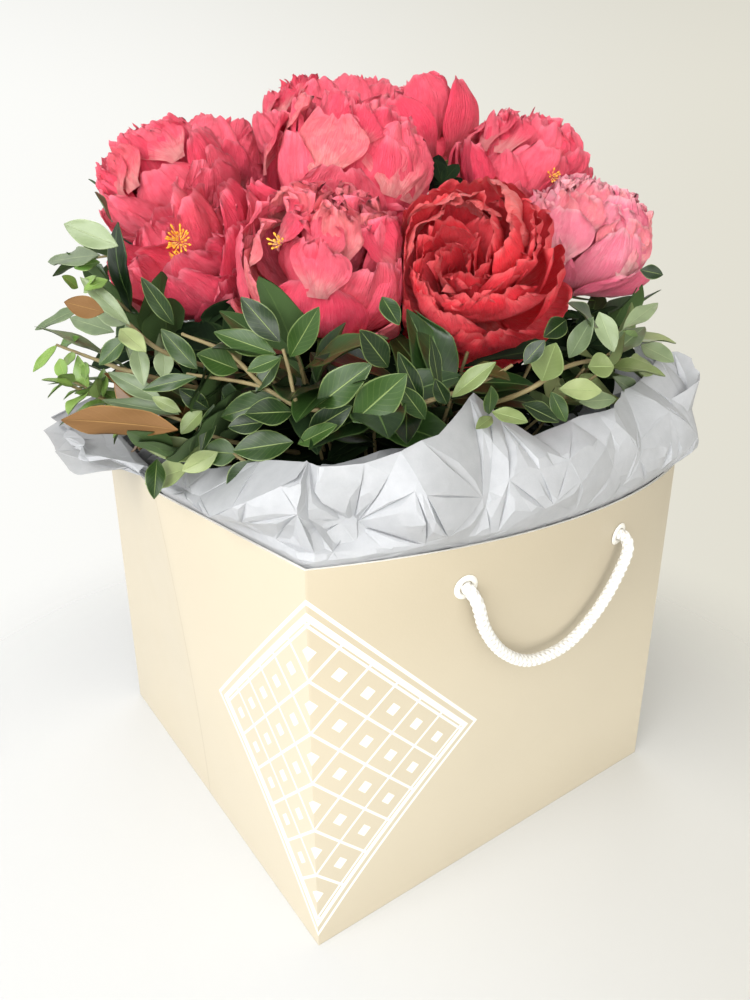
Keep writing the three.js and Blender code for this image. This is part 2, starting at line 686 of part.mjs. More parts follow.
// A spray's twig, standing on its cut end.
function makeTwig(spray) {
  const path = new StationPath(twigStations(spray));
  const solid = cutLevel(solidOf(barGeometry(path, TWIG_RADIUS, 4, path.points.length - 1)));
  return { spray, path, solid, box: solid.boundingBox() };
}

// A spray: its twig, and each leaf in the first of its tries that meets no other piece.
function makeSpray(twig, others) {
  const leaf = LEAVES[twig.spray.kind];
  const leaves = [];
  for (let i = 0; i < twig.spray.leaves; i++) {
    for (let k = 0; k < LEAF_TRIES; k++) {
      const frame = leafFrame(twig.spray, twig.path, i, 0.8 * k, 0.12 * k);
      const rows = leafRows(frame, leaf);
      const push = rows.flat().reduce((most, p) => {
        const before = p.clone();
        return Math.max(most, before.distanceTo(besideBlooms(p, LEAF_CLEARANCE)));
      }, 0);
      if (push > MOST_PUSH) continue;
      const blade = solidOf(bladeGeometry(rows, LEAF_THICKNESS));
      const test = solidOf(bladeGeometry(rows, LEAF_THICKNESS + 2 * LEAF_AIR));
      if (!isClear(test, [...others, ...leaves])) continue;
      leaves.push({ solid: blade, box: blade.boundingBox() });
      break;
    }
  }
  return fused([twig.solid, ...leaves.map((grown) => grown.solid)]);
}

// Two turns of twine drawn round the waist, as one ridged band about +Y.
function makeTwine() {
  const middle = SPRAY_WAIST_RADIUS + TWIG_RADIUS + TWINE_SLACK + TWINE_RADIUS;
  const ridges = [-1, 1].flatMap((turn) =>
    [-60, 0, 60].map((angle) => [
      middle + TWINE_RADIUS * Math.cos(rad(angle)),
      turn * TWINE_RADIUS + TWINE_RADIUS * Math.sin(rad(angle)),
    ]),
  );
  const inner = middle - TWINE_RADIUS;
  const profile = [...ridges, [inner, 1.8 * TWINE_RADIUS], [inner, -1.8 * TWINE_RADIUS], ridges[0]];
  return solidOf(new THREE.LatheGeometry(profile.map(([r, y]) => new THREE.Vector2(r, y)), 16));
}

// Tissue sheets: the stretch of the bag's round that each follows, and the height of its top edge along it.
const TISSUES = [
  {
    name: "front",
    from: 3.52,
    to: 5.1,
    tops: [252, 254, 260, 272, 288, 286, 297, 290, 303, 311, 290, 296, 288, 286, 298, 302],
  },
  {
    name: "right",
    from: 1.14,
    to: 2.44,
    tops: [298, 286, 278, 284, 276, 286, 280, 274, 286, 280, 274, 284, 272],
  },
  {
    name: "left",
    from: 2.48,
    to: 3.48,
    tops: [274, 282, 272, 264, 262, 266, 258, 262, 256, 262, 258],
  },
];
const TISSUE_THICKNESS = 0.8;
const TISSUE_LEVELS = [190, 230, 247];
const SEAT_INSET = 2 * BAG_WALL + GAP + TISSUE_THICKNESS / 2 + 0.4;
const KNOT_INSET = 22;
const TISSUE_SLOPE = 0.7;
const FLARE_REACH = 38;

// How far a sheet lies inside the wall: close to the gussets, clear of the knots, folded out at one corner.
function tissueInset(turn, level, z) {
  const share = turn - Math.floor(turn);
  const handled = Math.floor(turn) % 2 === 0;
  const hollow = handled ? smooth(Math.min(share, 1 - share), 0.04, 0.16) : 0;
  if (level < 2) return mix(SEAT_INSET, KNOT_INSET, hollow);
  if (level === 2) return SEAT_INSET + 0.3 + 2 * hollow;
  const flare = smooth(turn, 2.7, 2.95) * (1 - smooth(turn, 3.3, 3.5));
  return mix(SEAT_INSET + TISSUE_SLOPE * (z - BAG_HEIGHT), -FLARE_REACH, flare);
}

// A point inside the bag's wall by an inset, which may be negative above the rim.
function insidePoint(turn, z, inset) {
  const point = bagPoint(turn, Math.min(z, BAG_HEIGHT)).setZ(z);
  const within = (value, half) => THREE.MathUtils.clamp(value, inset - half, half - inset);
  if (Math.floor(turn) % 2 === 0) {
    return vec(within(point.x, BAG_WIDTH / 2), point.y - Math.sign(point.y) * inset, z);
  }
  return vec(point.x - Math.sign(point.x) * inset, within(point.y, BAG_DEPTH / 2), z);
}

// A sheet of tissue, tucked in between the wall and the stems and creased where it stands above the rim.
function makeTissue({ from, to, tops }) {
  const rows = [...TISSUE_LEVELS, null].map((fixed, level) =>
    tops.map((top, i) => {
      const turn = mix(from, to, i / (tops.length - 1));
      const z = fixed ?? top;
      const crease = level < 2 ? 0 : 4 * (level - 2) * (i % 2);
      return insidePoint(turn, z, tissueInset(turn, level, z) + crease);
    }),
  );
  return solidOf(bladeGeometry(rows, TISSUE_THICKNESS));
}

// Colour, roughness and metalness of each kind of surface.
const FINISHES = {
  bag: [0xe8dabb, 0.55, 0],
  card: [0xc9b189, 0.9, 0],
  eyelet: [0xe9e6df, 0.35, 0.1],
  rope: [0xf4f2ec, 0.7, 0],
  twine: [0xb59a6a, 0.9, 0],
  tissue: [0xeceef1, 0.6, 0],
  coral: [0xe0485c, 0.6, 0],
  red: [0xc92f45, 0.6, 0],
  pink: [0xe65a78, 0.6, 0],
  stem: [0x6f8a4c, 0.6, 0],
  stamen: [0xf0b53a, 0.7, 0],
  broad: [0x4d6b3a, 0.4, 0],
  narrow: [0x8a9b76, 0.55, 0],
  round: [0x8fae62, 0.5, 0],
  bronze: [0x8a7040, 0.6, 0],
  small: [0x86a84a, 0.5, 0],
};

// Pieces finished so far, in the bag's frame, for the leaves to keep clear of.
const finished = [];

// Adds a piece to a group, at a place and with its own +Y turned to a direction.
function add(group, name, solid, finish, place = vec(0, 0, 0), direction = vec(0, 1, 0)) {
  const [color, roughness, metalness] = FINISHES[finish];
  const material = new THREE.MeshStandardMaterial({ color, roughness, metalness });
  const mesh = new THREE.Mesh(geometryOf(solid), material);
  mesh.name = name;
  mesh.position.copy(place);
  mesh.quaternion.setFromUnitVectors(vec(0, 1, 0), direction);
  mesh.updateMatrix();
  group.add(mesh);
  const standing = solid.transform(mesh.matrix.elements);
  finished.push({ solid: standing, box: standing.boundingBox() });
}

const carrier = new THREE.Group();
add(carrier, "bag", makeBag(), "bag");
add(carrier, "base_card", makeCard(), "card", vec(0, 0, BAG_WALL + GAP + CARD_THICKNESS / 2));
eyelets.forEach((eyelet) => {
  const corner = `${eyelet.face < 0 ? "front" : "back"}_${eyelet.side < 0 ? "left" : "right"}`;
  add(carrier, `eyelet_${corner}`, makeEyelet(), "eyelet", eyelet.centre, eyelet.out);
  add(carrier, `knot_${corner}`, makeKnot(), "rope", knotPlace(eyelet), eyelet.out);
});
add(carrier, "rope_front", makeRope(-1), "rope");
add(carrier, "rope_back", makeRope(1), "rope");
TISSUES.forEach((sheet) => add(carrier, `tissue_${sheet.name}`, makeTissue(sheet), "tissue"));

const flowers = new THREE.Group();
add(flowers, "binding_twine", makeTwine(), "twine", vec(0, 0, WAIST_Z), vec(0, 0, 1));
BLOOMS.forEach((bloom) => {
  add(flowers, `peony_${bloom.name}`, makeBloom(bloom), bloom.hue ?? "coral");
  add(flowers, `stem_${bloom.name}`, makePeonyStem(bloom), "stem");
});
const [openBloom] = BLOOMS;
add(flowers, "stamens_01", makeStamens(openBloom), "stamen", openBloom.middle, openBloom.axis);

const foliage = new THREE.Group();
const twigs = SPRAYS.map(makeTwig);
twigs.forEach((twig) => {
  const others = [...finished, ...twigs.filter((other) => other !== twig)];
  add(foliage, `spray_${twig.spray.name}`, makeSpray(twig, others), twig.spray.kind);
});

const bunch = new THREE.Group();
bunch.add(carrier, flowers, foliage);
export default bunch;
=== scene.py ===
"""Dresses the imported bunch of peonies: petals, leaves, tissue, knitted handles and the printed paper bag.

Everything is in metres, in the CAD frame: +Z up, the bag's handled front facing -Y.
"""
import math

import bpy
import numpy as np
from mathutils import Matrix, Vector
from mathutils.geometry import delaunay_2d_cdt


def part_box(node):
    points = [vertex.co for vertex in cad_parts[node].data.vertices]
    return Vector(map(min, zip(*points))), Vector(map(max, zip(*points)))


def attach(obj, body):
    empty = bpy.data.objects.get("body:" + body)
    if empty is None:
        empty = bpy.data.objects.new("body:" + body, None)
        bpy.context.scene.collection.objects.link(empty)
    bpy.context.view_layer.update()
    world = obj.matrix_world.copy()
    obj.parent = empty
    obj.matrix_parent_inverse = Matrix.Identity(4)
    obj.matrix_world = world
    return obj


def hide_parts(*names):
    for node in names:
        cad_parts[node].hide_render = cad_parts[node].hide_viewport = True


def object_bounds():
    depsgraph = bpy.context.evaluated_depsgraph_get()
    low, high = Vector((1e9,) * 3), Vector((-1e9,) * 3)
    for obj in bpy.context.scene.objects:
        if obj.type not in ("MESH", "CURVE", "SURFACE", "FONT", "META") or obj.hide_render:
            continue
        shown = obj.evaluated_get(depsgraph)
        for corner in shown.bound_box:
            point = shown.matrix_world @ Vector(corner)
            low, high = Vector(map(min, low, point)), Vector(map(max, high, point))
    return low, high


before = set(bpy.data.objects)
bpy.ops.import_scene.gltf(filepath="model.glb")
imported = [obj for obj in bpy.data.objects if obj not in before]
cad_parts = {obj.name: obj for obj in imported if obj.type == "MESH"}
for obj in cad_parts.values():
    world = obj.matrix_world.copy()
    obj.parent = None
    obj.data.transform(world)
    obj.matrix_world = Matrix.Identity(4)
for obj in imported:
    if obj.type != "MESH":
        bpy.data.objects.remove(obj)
cad_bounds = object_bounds()
BODY = "root"


# The bag, as in the CAD

BAG_WIDTH = 0.300
BAG_DEPTH = 0.314
BAG_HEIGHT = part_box("bag")[1].z
BAG_WALL = 0.0008
LINED_WALL = 2 * BAG_WALL
HEM_DEPTH = 0.040
FACE_BOW = 0.030
GUSSET_BULGE = 0.018
BOW_POWER = 1.4


# Handles

ROPE_RADIUS = 0.0034
EYELET_X = 0.064
EYELET_Z = 0.219
EYELET_BORE = 0.0040
EYELET_BARREL = 0.0046
EYELET_FLANGE = 0.0075
ROPE_DROP = 0.061
ROPE_TAIL = 0.004
KNOT_RADIUS = 0.0064
KNOT_FLATNESS = 0.8
GAP = 0.0003


# The bunch

WAIST_Z = 0.130
WAIST_SHARE = 0.14
FOOT_SPREAD = 1.9
FOOT_Z = 0.0030
SPRAY_WAIST_RADIUS = 0.031
PEONY_STEM_RADIUS = 0.0028
TWIG_RADIUS = 0.0018
GOLDEN_ANGLE = 2.4
MILLIMETRE = 0.001


# The photograph's camera

CAMERA_AZIMUTH = math.radians(-35.368)
CAMERA_ELEVATION = math.radians(19.677)
CAMERA_ROLL = math.radians(-0.148)
CAMERA_PLACE = np.array([-0.30966, -0.44074, 0.39586])
CAMERA_LENS = 26.64
SENSOR_SIZE = 36.0
PHOTO_MIDDLE = (375, 500)
PHOTO_FOCUS = CAMERA_LENS / SENSOR_SIZE * 2 * PHOTO_MIDDLE[1]


def make_camera():
    """Puts up the camera that took the photograph, and returns its directions in the object's frame."""
    flat = math.cos(CAMERA_ELEVATION)
    level = Vector((math.sin(CAMERA_AZIMUTH), -math.cos(CAMERA_AZIMUTH), 0))
    back = Vector((level.x * flat, level.y * flat, math.sin(CAMERA_ELEVATION)))
    right = Vector((0, 0, 1)).cross(back).normalized()
    turn = Matrix((right, back.cross(right), back)).transposed() @ Matrix.Rotation(CAMERA_ROLL, 3, "Z")
    data = bpy.data.cameras.new("photo_camera")
    data.lens = CAMERA_LENS
    data.sensor_width = SENSOR_SIZE
    data.clip_start = 0.01
    camera = bpy.data.objects.new("photo_camera", data)
    camera.matrix_world = Matrix.Translation(CAMERA_PLACE) @ turn.to_4x4()
    bpy.context.scene.collection.objects.link(camera)
    bpy.context.scene.camera = camera
    return [np.array(column)[:3] for column in list(camera.matrix_world.transposed())[:3]]


TO_RIGHT, TO_TOP, TO_EYE = make_camera()


def pixel_aim(u, v):
    """The way from the camera through a pixel of the photograph, with the picture at its focus."""
    return TO_RIGHT * (u - PHOTO_MIDDLE[0]) + TO_TOP * (PHOTO_MIDDLE[1] - v) - TO_EYE * PHOTO_FOCUS


# Materials


def linear(color):
    """A colour given as 0 to 255 screen values, as linear light."""
    shares = [value / 255 for value in color]
    return (*(s / 12.92 if s <= 0.04045 else ((s + 0.055) / 1.055) ** 2.4 for s in shares), 1.0)


class Value:
    """A number that varies over a surface, with which sums and products are written as such."""

    def __init__(self, paint, socket):
        self.paint = paint
        self.socket = socket

    def __add__(self, other):
        return self.paint.math("ADD", self, other)

    def __sub__(self, other):
        return self.paint.math("SUBTRACT", self, other)

    def __rsub__(self, other):
        return self.paint.math("SUBTRACT", other, self)

    def __mul__(self, other):
        return self.paint.math("MULTIPLY", self, other)

    def __mod__(self, other):
        return self.paint.math("MODULO", self, other)

    def __abs__(self):
        return self.paint.math("ABSOLUTE", self)


class Paint:
    """The nodes of a new material, or of the world, with short calls for each kind of node."""

    def __init__(self, name, world=None):
        self.material = world or bpy.data.materials.new(name)
        self.material.use_nodes = True
        self.nodes = self.material.node_tree.nodes
        self.links = self.material.node_tree.links
        self.shader = self.nodes["Background" if world else "Principled BSDF"]

    def put(self, socket, value):
        """Gives a socket a value, which for a colour is a tuple of 0 to 255 screen values."""
        if isinstance(value, Value):
            self.links.new(value.socket, socket)
        elif isinstance(value, tuple):
            socket.default_value = linear(value)
        elif value is not None:
            socket.default_value = value

    def set(self, **values):
        """Sets the surface's own inputs, named with underscores for spaces."""
        for name, value in values.items():
            self.put(self.shader.inputs[name.replace("_", " ")], value)
        return self

    def node(self, kind, *values, out=0, **settings):
        """An output of a new node, with its settings, and with values for its inputs in their order."""
        made = self.nodes.new("ShaderNode" + kind)
        for name, setting in settings.items():
            setattr(made, name, setting)
        for socket, value in zip(made.inputs, values):
            self.put(socket, value)
        return Value(self, made.outputs[out])

    def math(self, operation, *values):
        """The result of a sum on values."""
        return self.node("Math", *values, operation=operation)

    def most(self, first, second):
        """The larger of two values."""
        return self.math("MAXIMUM", first, second)

    def value(self, name):
        """A value that the mesh holds for each of its points."""
        return self.node("Attribute", out="Fac", attribute_name=name)

    def parts(self, vector):
        """The three parts of a vector."""
        apart = self.nodes.new("ShaderNodeSeparateXYZ")
        self.put(apart.inputs[0], vector)
        return [Value(self, socket) for socket in apart.outputs]

    def uv(self):
        """Where a point lies across and along its grid."""
        return self.parts(self.node("UVMap"))[:2]

    def join(self, x, y, z=0.0):
        """A vector of three values."""
        return self.node("CombineXYZ", x, y, z)

    def place(self):
        """Where a point lies in the object's frame."""
        return self.node("TexCoord", out="Object")

    def steps(self, value, low, high, start=0.0, end=1.0):
        """The value's way from low to high, eased, as start to end."""
        return self.node("MapRange", value, low, high, start, end, interpolation_type="SMOOTHSTEP")

    def noise(self, vector, scale, detail=3.0, roughness=0.55, ridged=False):
        """Cloudy noise, or ridges."""
        form = "RIDGED_MULTIFRACTAL" if ridged else "FBM"
        return self.node("TexNoise", vector, None, scale, detail, roughness, noise_type=form)

    def blend(self, share, first, second):
        """A colour between two others."""
        made = self.nodes.new("ShaderNodeMix")
        made.data_type = "RGBA"
        self.put(made.inputs[0], share)
        self.put(made.inputs[6], first)
        self.put(made.inputs[7], second)
        return Value(self, made.outputs[2])

    def bump(self, height, distance, strength=1.0):
        """Fine relief on the surface."""
        made = self.nodes.new("ShaderNodeBump")
        self.put(made.inputs["Height"], height)
        self.put(made.inputs["Distance"], distance)
        self.put(made.inputs["Strength"], strength)
        self.put(self.shader.inputs["Normal"], Value(self, made.outputs[0]))

    def mixed(self, share, second):
        """Mixes a second shader into the surface."""
        both = self.node("MixShader", share, Value(self, self.shader.outputs[0]), second)
        self.put(self.nodes["Material Output"].inputs["Surface"], both)

    def glow(self, share, color):
        """Lets light through from behind, as a thin petal, leaf or paper does."""
        self.mixed(share, self.node("BsdfTranslucent", color))
        return self


PRINT_REACH = 0.112
PRINT_LEVEL = 0.118
PRINT_COVER = 0.85
TRELLIS_PITCH = 0.032
LINE_WIDTH = 0.0022
LINE_EDGE = 0.0005
STUD_SIZE = 0.0042
STUD_EDGE = 0.0004
TRELLIS_INSET = 0.012
BORDER_INSET = 0.011
OUTER_INSET = 0.003
PRINT_WHITE = (236, 235, 229)
PAPER_COLORS = ((183, 173, 152), (190, 180, 159))
# The paper's colour where shade is painted on it
PAINTED_PAPER_SHADE = (160, 148, 125)


def line_near(p, distance, width):
    """1 on a line where a distance is nought, and 0 beside it."""
    return p.steps(abs(distance), width / 2, width / 2 + LINE_EDGE, 1.0, 0.0)


def off_trellis(distance):
    """The distance from the nearest of the trellis's parallel lines."""
    return (distance + TRELLIS_PITCH * 20.5) % TRELLIS_PITCH - TRELLIS_PITCH / 2


def trellis(p, around, height):
    """The print: a diamond of crossed lines, with studs between them and a double border."""
    level = height - PRINT_LEVEL
    diamond = abs(around) + abs(level)
    rising = off_trellis(around + level)
    falling = off_trellis(around - level)
    lines = p.most(line_near(p, rising, LINE_WIDTH * 0.7), line_near(p, falling, LINE_WIDTH * 0.7))
    half = TRELLIS_PITCH / 2
    off_middle = p.most(half - abs(rising), half - abs(falling))
    studs = p.steps(off_middle, STUD_SIZE, STUD_SIZE + STUD_EDGE, 1.0, 0.0)
    inner = PRINT_REACH - TRELLIS_INSET
    inside = p.steps(diamond, inner, inner + LINE_EDGE, 1.0, 0.0)
    border = line_near(p, diamond - (PRINT_REACH - BORDER_INSET), LINE_WIDTH * 1.8)
    outer = line_near(p, diamond - (PRINT_REACH - OUTER_INSET), LINE_WIDTH)
    return p.most(p.most(lines, studs) * inside, p.most(border, outer))


def bag_paint():
    """Satin cream paper with the trellis round the near corner, painted shade at its foot and towards its
    rim, most on the front and right faces, and painted shade along the pressed crease down each gusset.
    """
    p = Paint("bag_paper")
    around, height = p.uv()
    cloud = p.noise(p.place(), 9.0)
    # Painted shade: the paper darkens at its foot and from mid-height up to the rim, and so all over the
    # inside, strongly on the front and right faces and faintly on the left and back
    in_front = p.steps(around, -0.001, 0.002, 0.2, 0.8)
    shaded = p.most(p.steps(height, 0.0, 0.06, 0.25, 0.0), p.steps(height, 0.11, 0.235, 0.0, 0.6))
    paper = p.blend(shaded * in_front, p.blend(cloud, *PAPER_COLORS), PAINTED_PAPER_SHADE)
    # Painted shade: a darker line along the crease down the middle of each gusset
    creases = (abs(around + BAG_DEPTH / 2), abs(around - (BAG_WIDTH + BAG_DEPTH / 2)))
    crease = p.steps(p.math("MINIMUM", *creases), 0.0, 0.0016, 0.5, 0.0)
    paper = p.blend(crease, paper, PAINTED_PAPER_SHADE)
    color = p.blend(trellis(p, around, height) * PRINT_COVER, paper, PRINT_WHITE)
    p.set(Base_Color=color, Roughness=p.steps(cloud, 0.3, 0.7, 0.38, 0.5))
    p.set(Specular_IOR_Level=0.45, Sheen_Weight=0.05)
    p.bump(p.noise(p.place(), 420.0, 2.0), 0.00006)
    return p.material


# Plain surfaces: the grain's scale and detail, two colours, roughness and relief

PLAIN_PAINTS = {
    "paper_edge": (900.0, 3.0, (226, 222, 212), (238, 236, 230), 0.8, 0.00005),
    "board": (300.0, 5.0, (168, 146, 110), (203, 182, 146), 0.9, 0.0001),
    "twine_fibre": (1400.0, 4.0, (128, 98, 58), (188, 158, 108), 0.9, 0.0003),
}


def plain_paint(name, scale, detail, first, second, roughness, relief):
    """A surface whose colour and relief follow the same fine grain."""
    p = Paint(name)
    grain = p.noise(p.place(), scale, detail)
    p.set(Base_Color=p.blend(grain, first, second), Roughness=roughness)
    p.bump(grain, relief)
    return p.material


def eyelet_paint():
    """Off-white moulded eyelet."""
    p = Paint("eyelet_gloss")
    cloud = p.noise(p.place(), 700.0)
    p.set(Base_Color=p.blend(cloud, (212, 208, 198), (228, 226, 220)))
    p.set(Roughness=p.steps(cloud, 0.3, 0.7, 0.25, 0.4), Coat_Weight=0.2)
    p.bump(cloud, 0.00003)
    return p.material


def rope_paint():
    """White knitted cord with painted shade in the grooves between its stitches: the stitches are modelled,
    and the yarn is in the bump.
    """
    p = Paint("knitted_cord")
    # Painted shade: darker grey where the cord dips into a groove
    color = p.blend(p.value("groove"), (228, 227, 222), (182, 177, 168))
    p.set(Base_Color=color, Roughness=0.75, Sheen_Weight=0.3)
    p.bump(p.noise(p.place(), 2600.0, 2.0), 0.00015)
    return p.material


def tissue_paint():
    """Thin white tissue: mottled, with long fibres, and lit through from behind."""
    p = Paint("tissue_paper")
    mottle = p.noise(p.place(), 160.0, 4.0)
    fibre = p.noise(p.place(), 900.0, 3.0, 0.7)
    color = p.blend(p.steps(mottle + fibre * 0.5, 0.3, 1.3), (180, 182, 185), (197, 198, 201))
    p.set(Base_Color=color, Roughness=0.5, Specular_IOR_Level=0.35, Sheen_Weight=0.1)
    p.bump(fibre, 0.0001)
    return p.glow(0.32, (196, 199, 203)).material


SALMON = (253, 152, 148)


# Petal colours: deep, main, pale at the foot, and along the edge

PETAL_COLORS = {
    "coral": ((238, 60, 92), (252, 103, 125), (254, 178, 172), (254, 136, 154)),
    "red": ((250, 36, 56), (255, 80, 92), (254, 152, 144), (255, 116, 118)),
    "pink": ((240, 100, 134), (250, 146, 166), (254, 212, 208), (253, 192, 200)),
}


def petal_paint(hue):
    """A petal: paler at its foot and its very edge, with fine streaks along it, painted shade in the valleys
    of its fine crinkles, and a soft bloom of light.
    """
    p = Paint(f"petal_{hue}")
    deep_and_painted_shade, main, pale, edge = PETAL_COLORS[hue]
    across, along = p.uv()
    tone = p.value("tone")
    fan = p.join(across * 9.0, along * 1.3, tone * 40.0)
    streak = p.noise(fan, 3.0, 4.0, 0.6)
    fine = p.noise(fan, 11.0, 3.0, 0.6)
    cloud = p.noise(p.place(), 60.0, 2.0)
    silk = p.noise(p.place(), 130.0, 4.0, 0.6, ridged=True)
    color = p.blend(p.steps(tone + cloud * 0.8, 0.3, 1.3), deep_and_painted_shade, main)
    color = p.blend(p.value("salmon") * p.steps(streak + cloud, 0.6, 1.3, 1.0, 0.45), color, SALMON)
    foot = p.steps(along + streak * 0.7, 0.35, 0.85, 0.9, 0.0)
    color = p.blend(foot * p.value("pale"), color, pale)
    # Painted shade: the deep colour along the valleys of the fine crinkles
    color = p.blend(p.steps(silk, 0.0, 0.08, 0.3, 0.0), color, deep_and_painted_shade)
    color = p.blend(p.steps(fine, 0.5, 0.75, 0.0, 0.4), color, edge)
    color = p.blend(p.steps(along + streak * 0.1, 0.93, 1.05, 0.0, 0.6), color, edge)
    p.set(Base_Color=color, Roughness=p.steps(streak, 0.3, 0.7, 0.42, 0.62))
    p.set(Specular_IOR_Level=0.3, Sheen_Weight=0.06)
    crinkle = p.noise(fan, 2.2, 5.0, 0.65, ridged=True)
    p.bump(silk * 0.9 + crinkle * 0.9 + (fine + streak), 0.0013)
    return p.glow(0.14, color).material


# Leaf colours: dark, light, the rib's, and below

LEAF_COLORS = {
    "broad": ((18, 37, 13), (49, 75, 29), (144, 162, 98), (96, 120, 62)),
    # A darker copy of the broad leaves' paint, as painted shade on the sprays' leaves behind the front ones
    "deep_and_painted_shade": ((14, 32, 13), (44, 70, 29), (96, 122, 64), (64, 88, 44)),
    "narrow": ((84, 100, 70), (128, 142, 106), (150, 164, 122), (124, 140, 104)),
    "round": ((104, 119, 70), (152, 163, 112), (156, 174, 114), (120, 142, 90)),
    "small": ((78, 112, 46), (122, 152, 74), (154, 174, 102), (124, 150, 82)),
    "shade": ((12, 24, 13), (30, 48, 24), (52, 66, 36), (40, 54, 30)),
    "bronze": ((80, 54, 24), (124, 86, 40), (172, 134, 76), (112, 78, 38)),
}


def leaf_paint(kind):
    """A leaf: waxy above with a pale rib and side veins, dull and paler below."""
    p = Paint(f"leaf_{kind}")
    dark, light, pale, below = LEAF_COLORS[kind]
    across, along = p.uv()
    under = p.value("under")
    off_rib = abs(across)
    cloud = p.noise(p.place(), 70.0, 3.0)
    top = p.blend(p.steps(p.value("tone") + cloud, 0.55, 1.6), dark, light)
    off_vein = abs(p.math("FRACT", along * 9.0 - off_rib * 2.6) - 0.5)
    vein = p.steps(off_vein, 0.0, 0.14, 0.07, 0.0)
    rib = p.steps(off_rib, 0.015, 0.06, 0.62, 0.0)
    marks = p.most(p.most(vein, rib), p.steps(off_rib, 0.9, 1.0, 0.0, 0.5))
    front = p.blend(marks, top, pale)
    back = p.blend(marks * 0.6, below, pale)
    dull = kind == "shade"
    p.set(Base_Color=p.blend(under, front, back), Specular_IOR_Level=0.1 if dull else 0.45)
    p.set(Roughness=0.85 if dull else p.steps(under, 0.0, 1.0, 0.34, 0.75))
    p.bump(cloud * 0.6 - marks, 0.0004, 0.7)
    return p.glow(0.08, light).material


STEM_GREENS = ((92, 128, 58), (134, 162, 84))
TWIG_BROWNS = ((104, 84, 58), (136, 128, 84))


def bark_paint(name, first, second):
    """A stem or twig, with streaks along it."""
    p = Paint(name)
    around, along = p.uv()
    streak = p.noise(p.join(around * 4.0, along * 12.0), 3.0)
    p.set(Base_Color=p.blend(streak, first, second), Roughness=0.6)
    p.bump(streak, 0.0003)
    return p.material


def stamen_paint():
    """Powdery yellow stamens, deeper at the anthers."""
    p = Paint("stamen_powder")
    grain = p.noise(p.place(), 2500.0)
    body = p.blend(p.value("anther"), (248, 206, 120), (240, 160, 24))
    p.set(Base_Color=p.blend(grain * 0.4, body, (252, 220, 110)), Roughness=0.8)
    p.bump(grain, 0.0002)
    return p.material


# Mesh building


class Sheets:
    """Grids of points gathered into one mesh, each point with its place on its grid and named values."""

    def __init__(self):
        self.points = []
        self.faces = []
        self.uv = []
        self.values = {}
        self.slots = []
        self.count = 0

    def gather(self, points, faces, uv, slot=0):
        """Takes in points, with faces numbered from nought, and their places on their grid."""
        self.points.append(points)
        self.faces.append(np.asarray(faces) + self.count)
        self.uv.append(uv)
        self.slots.append(np.full(len(faces), slot))
        self.count += len(points)
        return self

    def add(self, grid, uv=None, closed=False, slot=0, **values):
        """Takes in a grid of points, which may close on itself sideways."""
        rows, columns = grid.shape[:2]
        if uv is None:
            across, along = np.meshgrid(np.linspace(-1, 1, columns), np.linspace(0, 1, rows))
            uv = np.stack([across, along], -1)
        row = np.arange(rows - 1)[:, None] * columns
        column = np.arange(columns if closed else columns - 1)[None, :]
        after = (column + 1) % columns
        quads = np.stack([row + column, row + after, row + columns + after, row + columns + column], -1)
        for name, value in values.items():
            filled = np.broadcast_to(np.asarray(value, float), grid.shape[:2]).reshape(-1)
            self.values.setdefault(name, []).append(filled)
        return self.gather(grid.reshape(-1, 3), quads.reshape(-1, 4), uv.reshape(-1, 2), slot)

    def cap(self, ring_start, size, centre, flip=False):
        """Closes a ring of points with a fan of quads to its centre, two sides of the ring at a time."""
        i = np.arange(0, size, 2)
        fan = np.stack([ring_start + i, ring_start + (i + 1) % size, ring_start + (i + 2) % size], -1)
        quads = np.column_stack([fan, np.full(len(fan), self.count)]) - self.count
        for held in self.values.values():
            held.append(np.zeros(1))
        return self.gather(np.array([centre]), quads[:, ::-1] if flip else quads, np.zeros((1, 2)))

    def piece(self, name, materials, slot, nodes=(), sharp=None):
        """The gathered mesh as a piece that rides on the bunch and stands for CAD nodes."""
        mesh = bpy.data.meshes.new(name)
        points = np.concatenate(self.points)
        mesh.from_pydata(points.tolist(), [], np.concatenate(self.faces).tolist())
        for material in materials:
            mesh.materials.append(material)
        mesh.polygons.foreach_set("material_index", np.concatenate(self.slots).astype(np.int32))
        corners = np.zeros(len(mesh.loops), np.int32)
        mesh.loops.foreach_get("vertex_index", corners)
        layer = mesh.uv_layers.new(name="grid")
        layer.data.foreach_set("uv", np.concatenate(self.uv)[corners].astype(np.float32).ravel())
        for key, held in self.values.items():
            data = mesh.attributes.new(key, "FLOAT", "POINT").data
            data.foreach_set("value", np.concatenate(held).astype(np.float32))
        mesh.shade_smooth()
        if sharp is not None:
            mesh.set_sharp_from_angle(angle=sharp)
        mesh.update()
        obj = bpy.data.objects.new(name, mesh)
        bpy.context.scene.collection.objects.link(obj)
        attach(obj, BODY)
        if nodes:
            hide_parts(*nodes)
        return obj


def unit(vectors):
    """Vectors at a length of one."""
    return vectors / np.maximum(np.linalg.norm(vectors, axis=-1, keepdims=True), 1e-12)


def smooth(value, low, high):
    """The eased way of a value from low to high, from 0 to 1."""
    share = np.clip((np.asarray(value, float) - low) / (high - low), 0, 1)
    return share * share * (3 - 2 * share)


def round_turn(count):
    """Even angles round a whole turn."""
    return np.arange(count) * 2 * math.pi / count


def spun(radius, height, count):
    """The x, y and z of rings spun round +Z, from a column of radii and one of heights."""
    angle = round_turn(count)[None, :]
    return radius * np.cos(angle), radius * np.sin(angle), height + 0 * angle


def rings_of(profile):
    """The radii and the heights of a profile, each as a column."""
    return np.array(profile).T[..., None]


def travelled(path):
    """The distance along a path at each of its points."""
    return np.concatenate([[0], np.cumsum(np.linalg.norm(np.diff(path, axis=0), axis=1))])


def draws(seed):
    """A repeatable stream of numbers from 0 to 1, the same as the CAD's."""
    state = seed
    while True:
        state = state * 16807 % 2147483647
        yield state / 2147483647


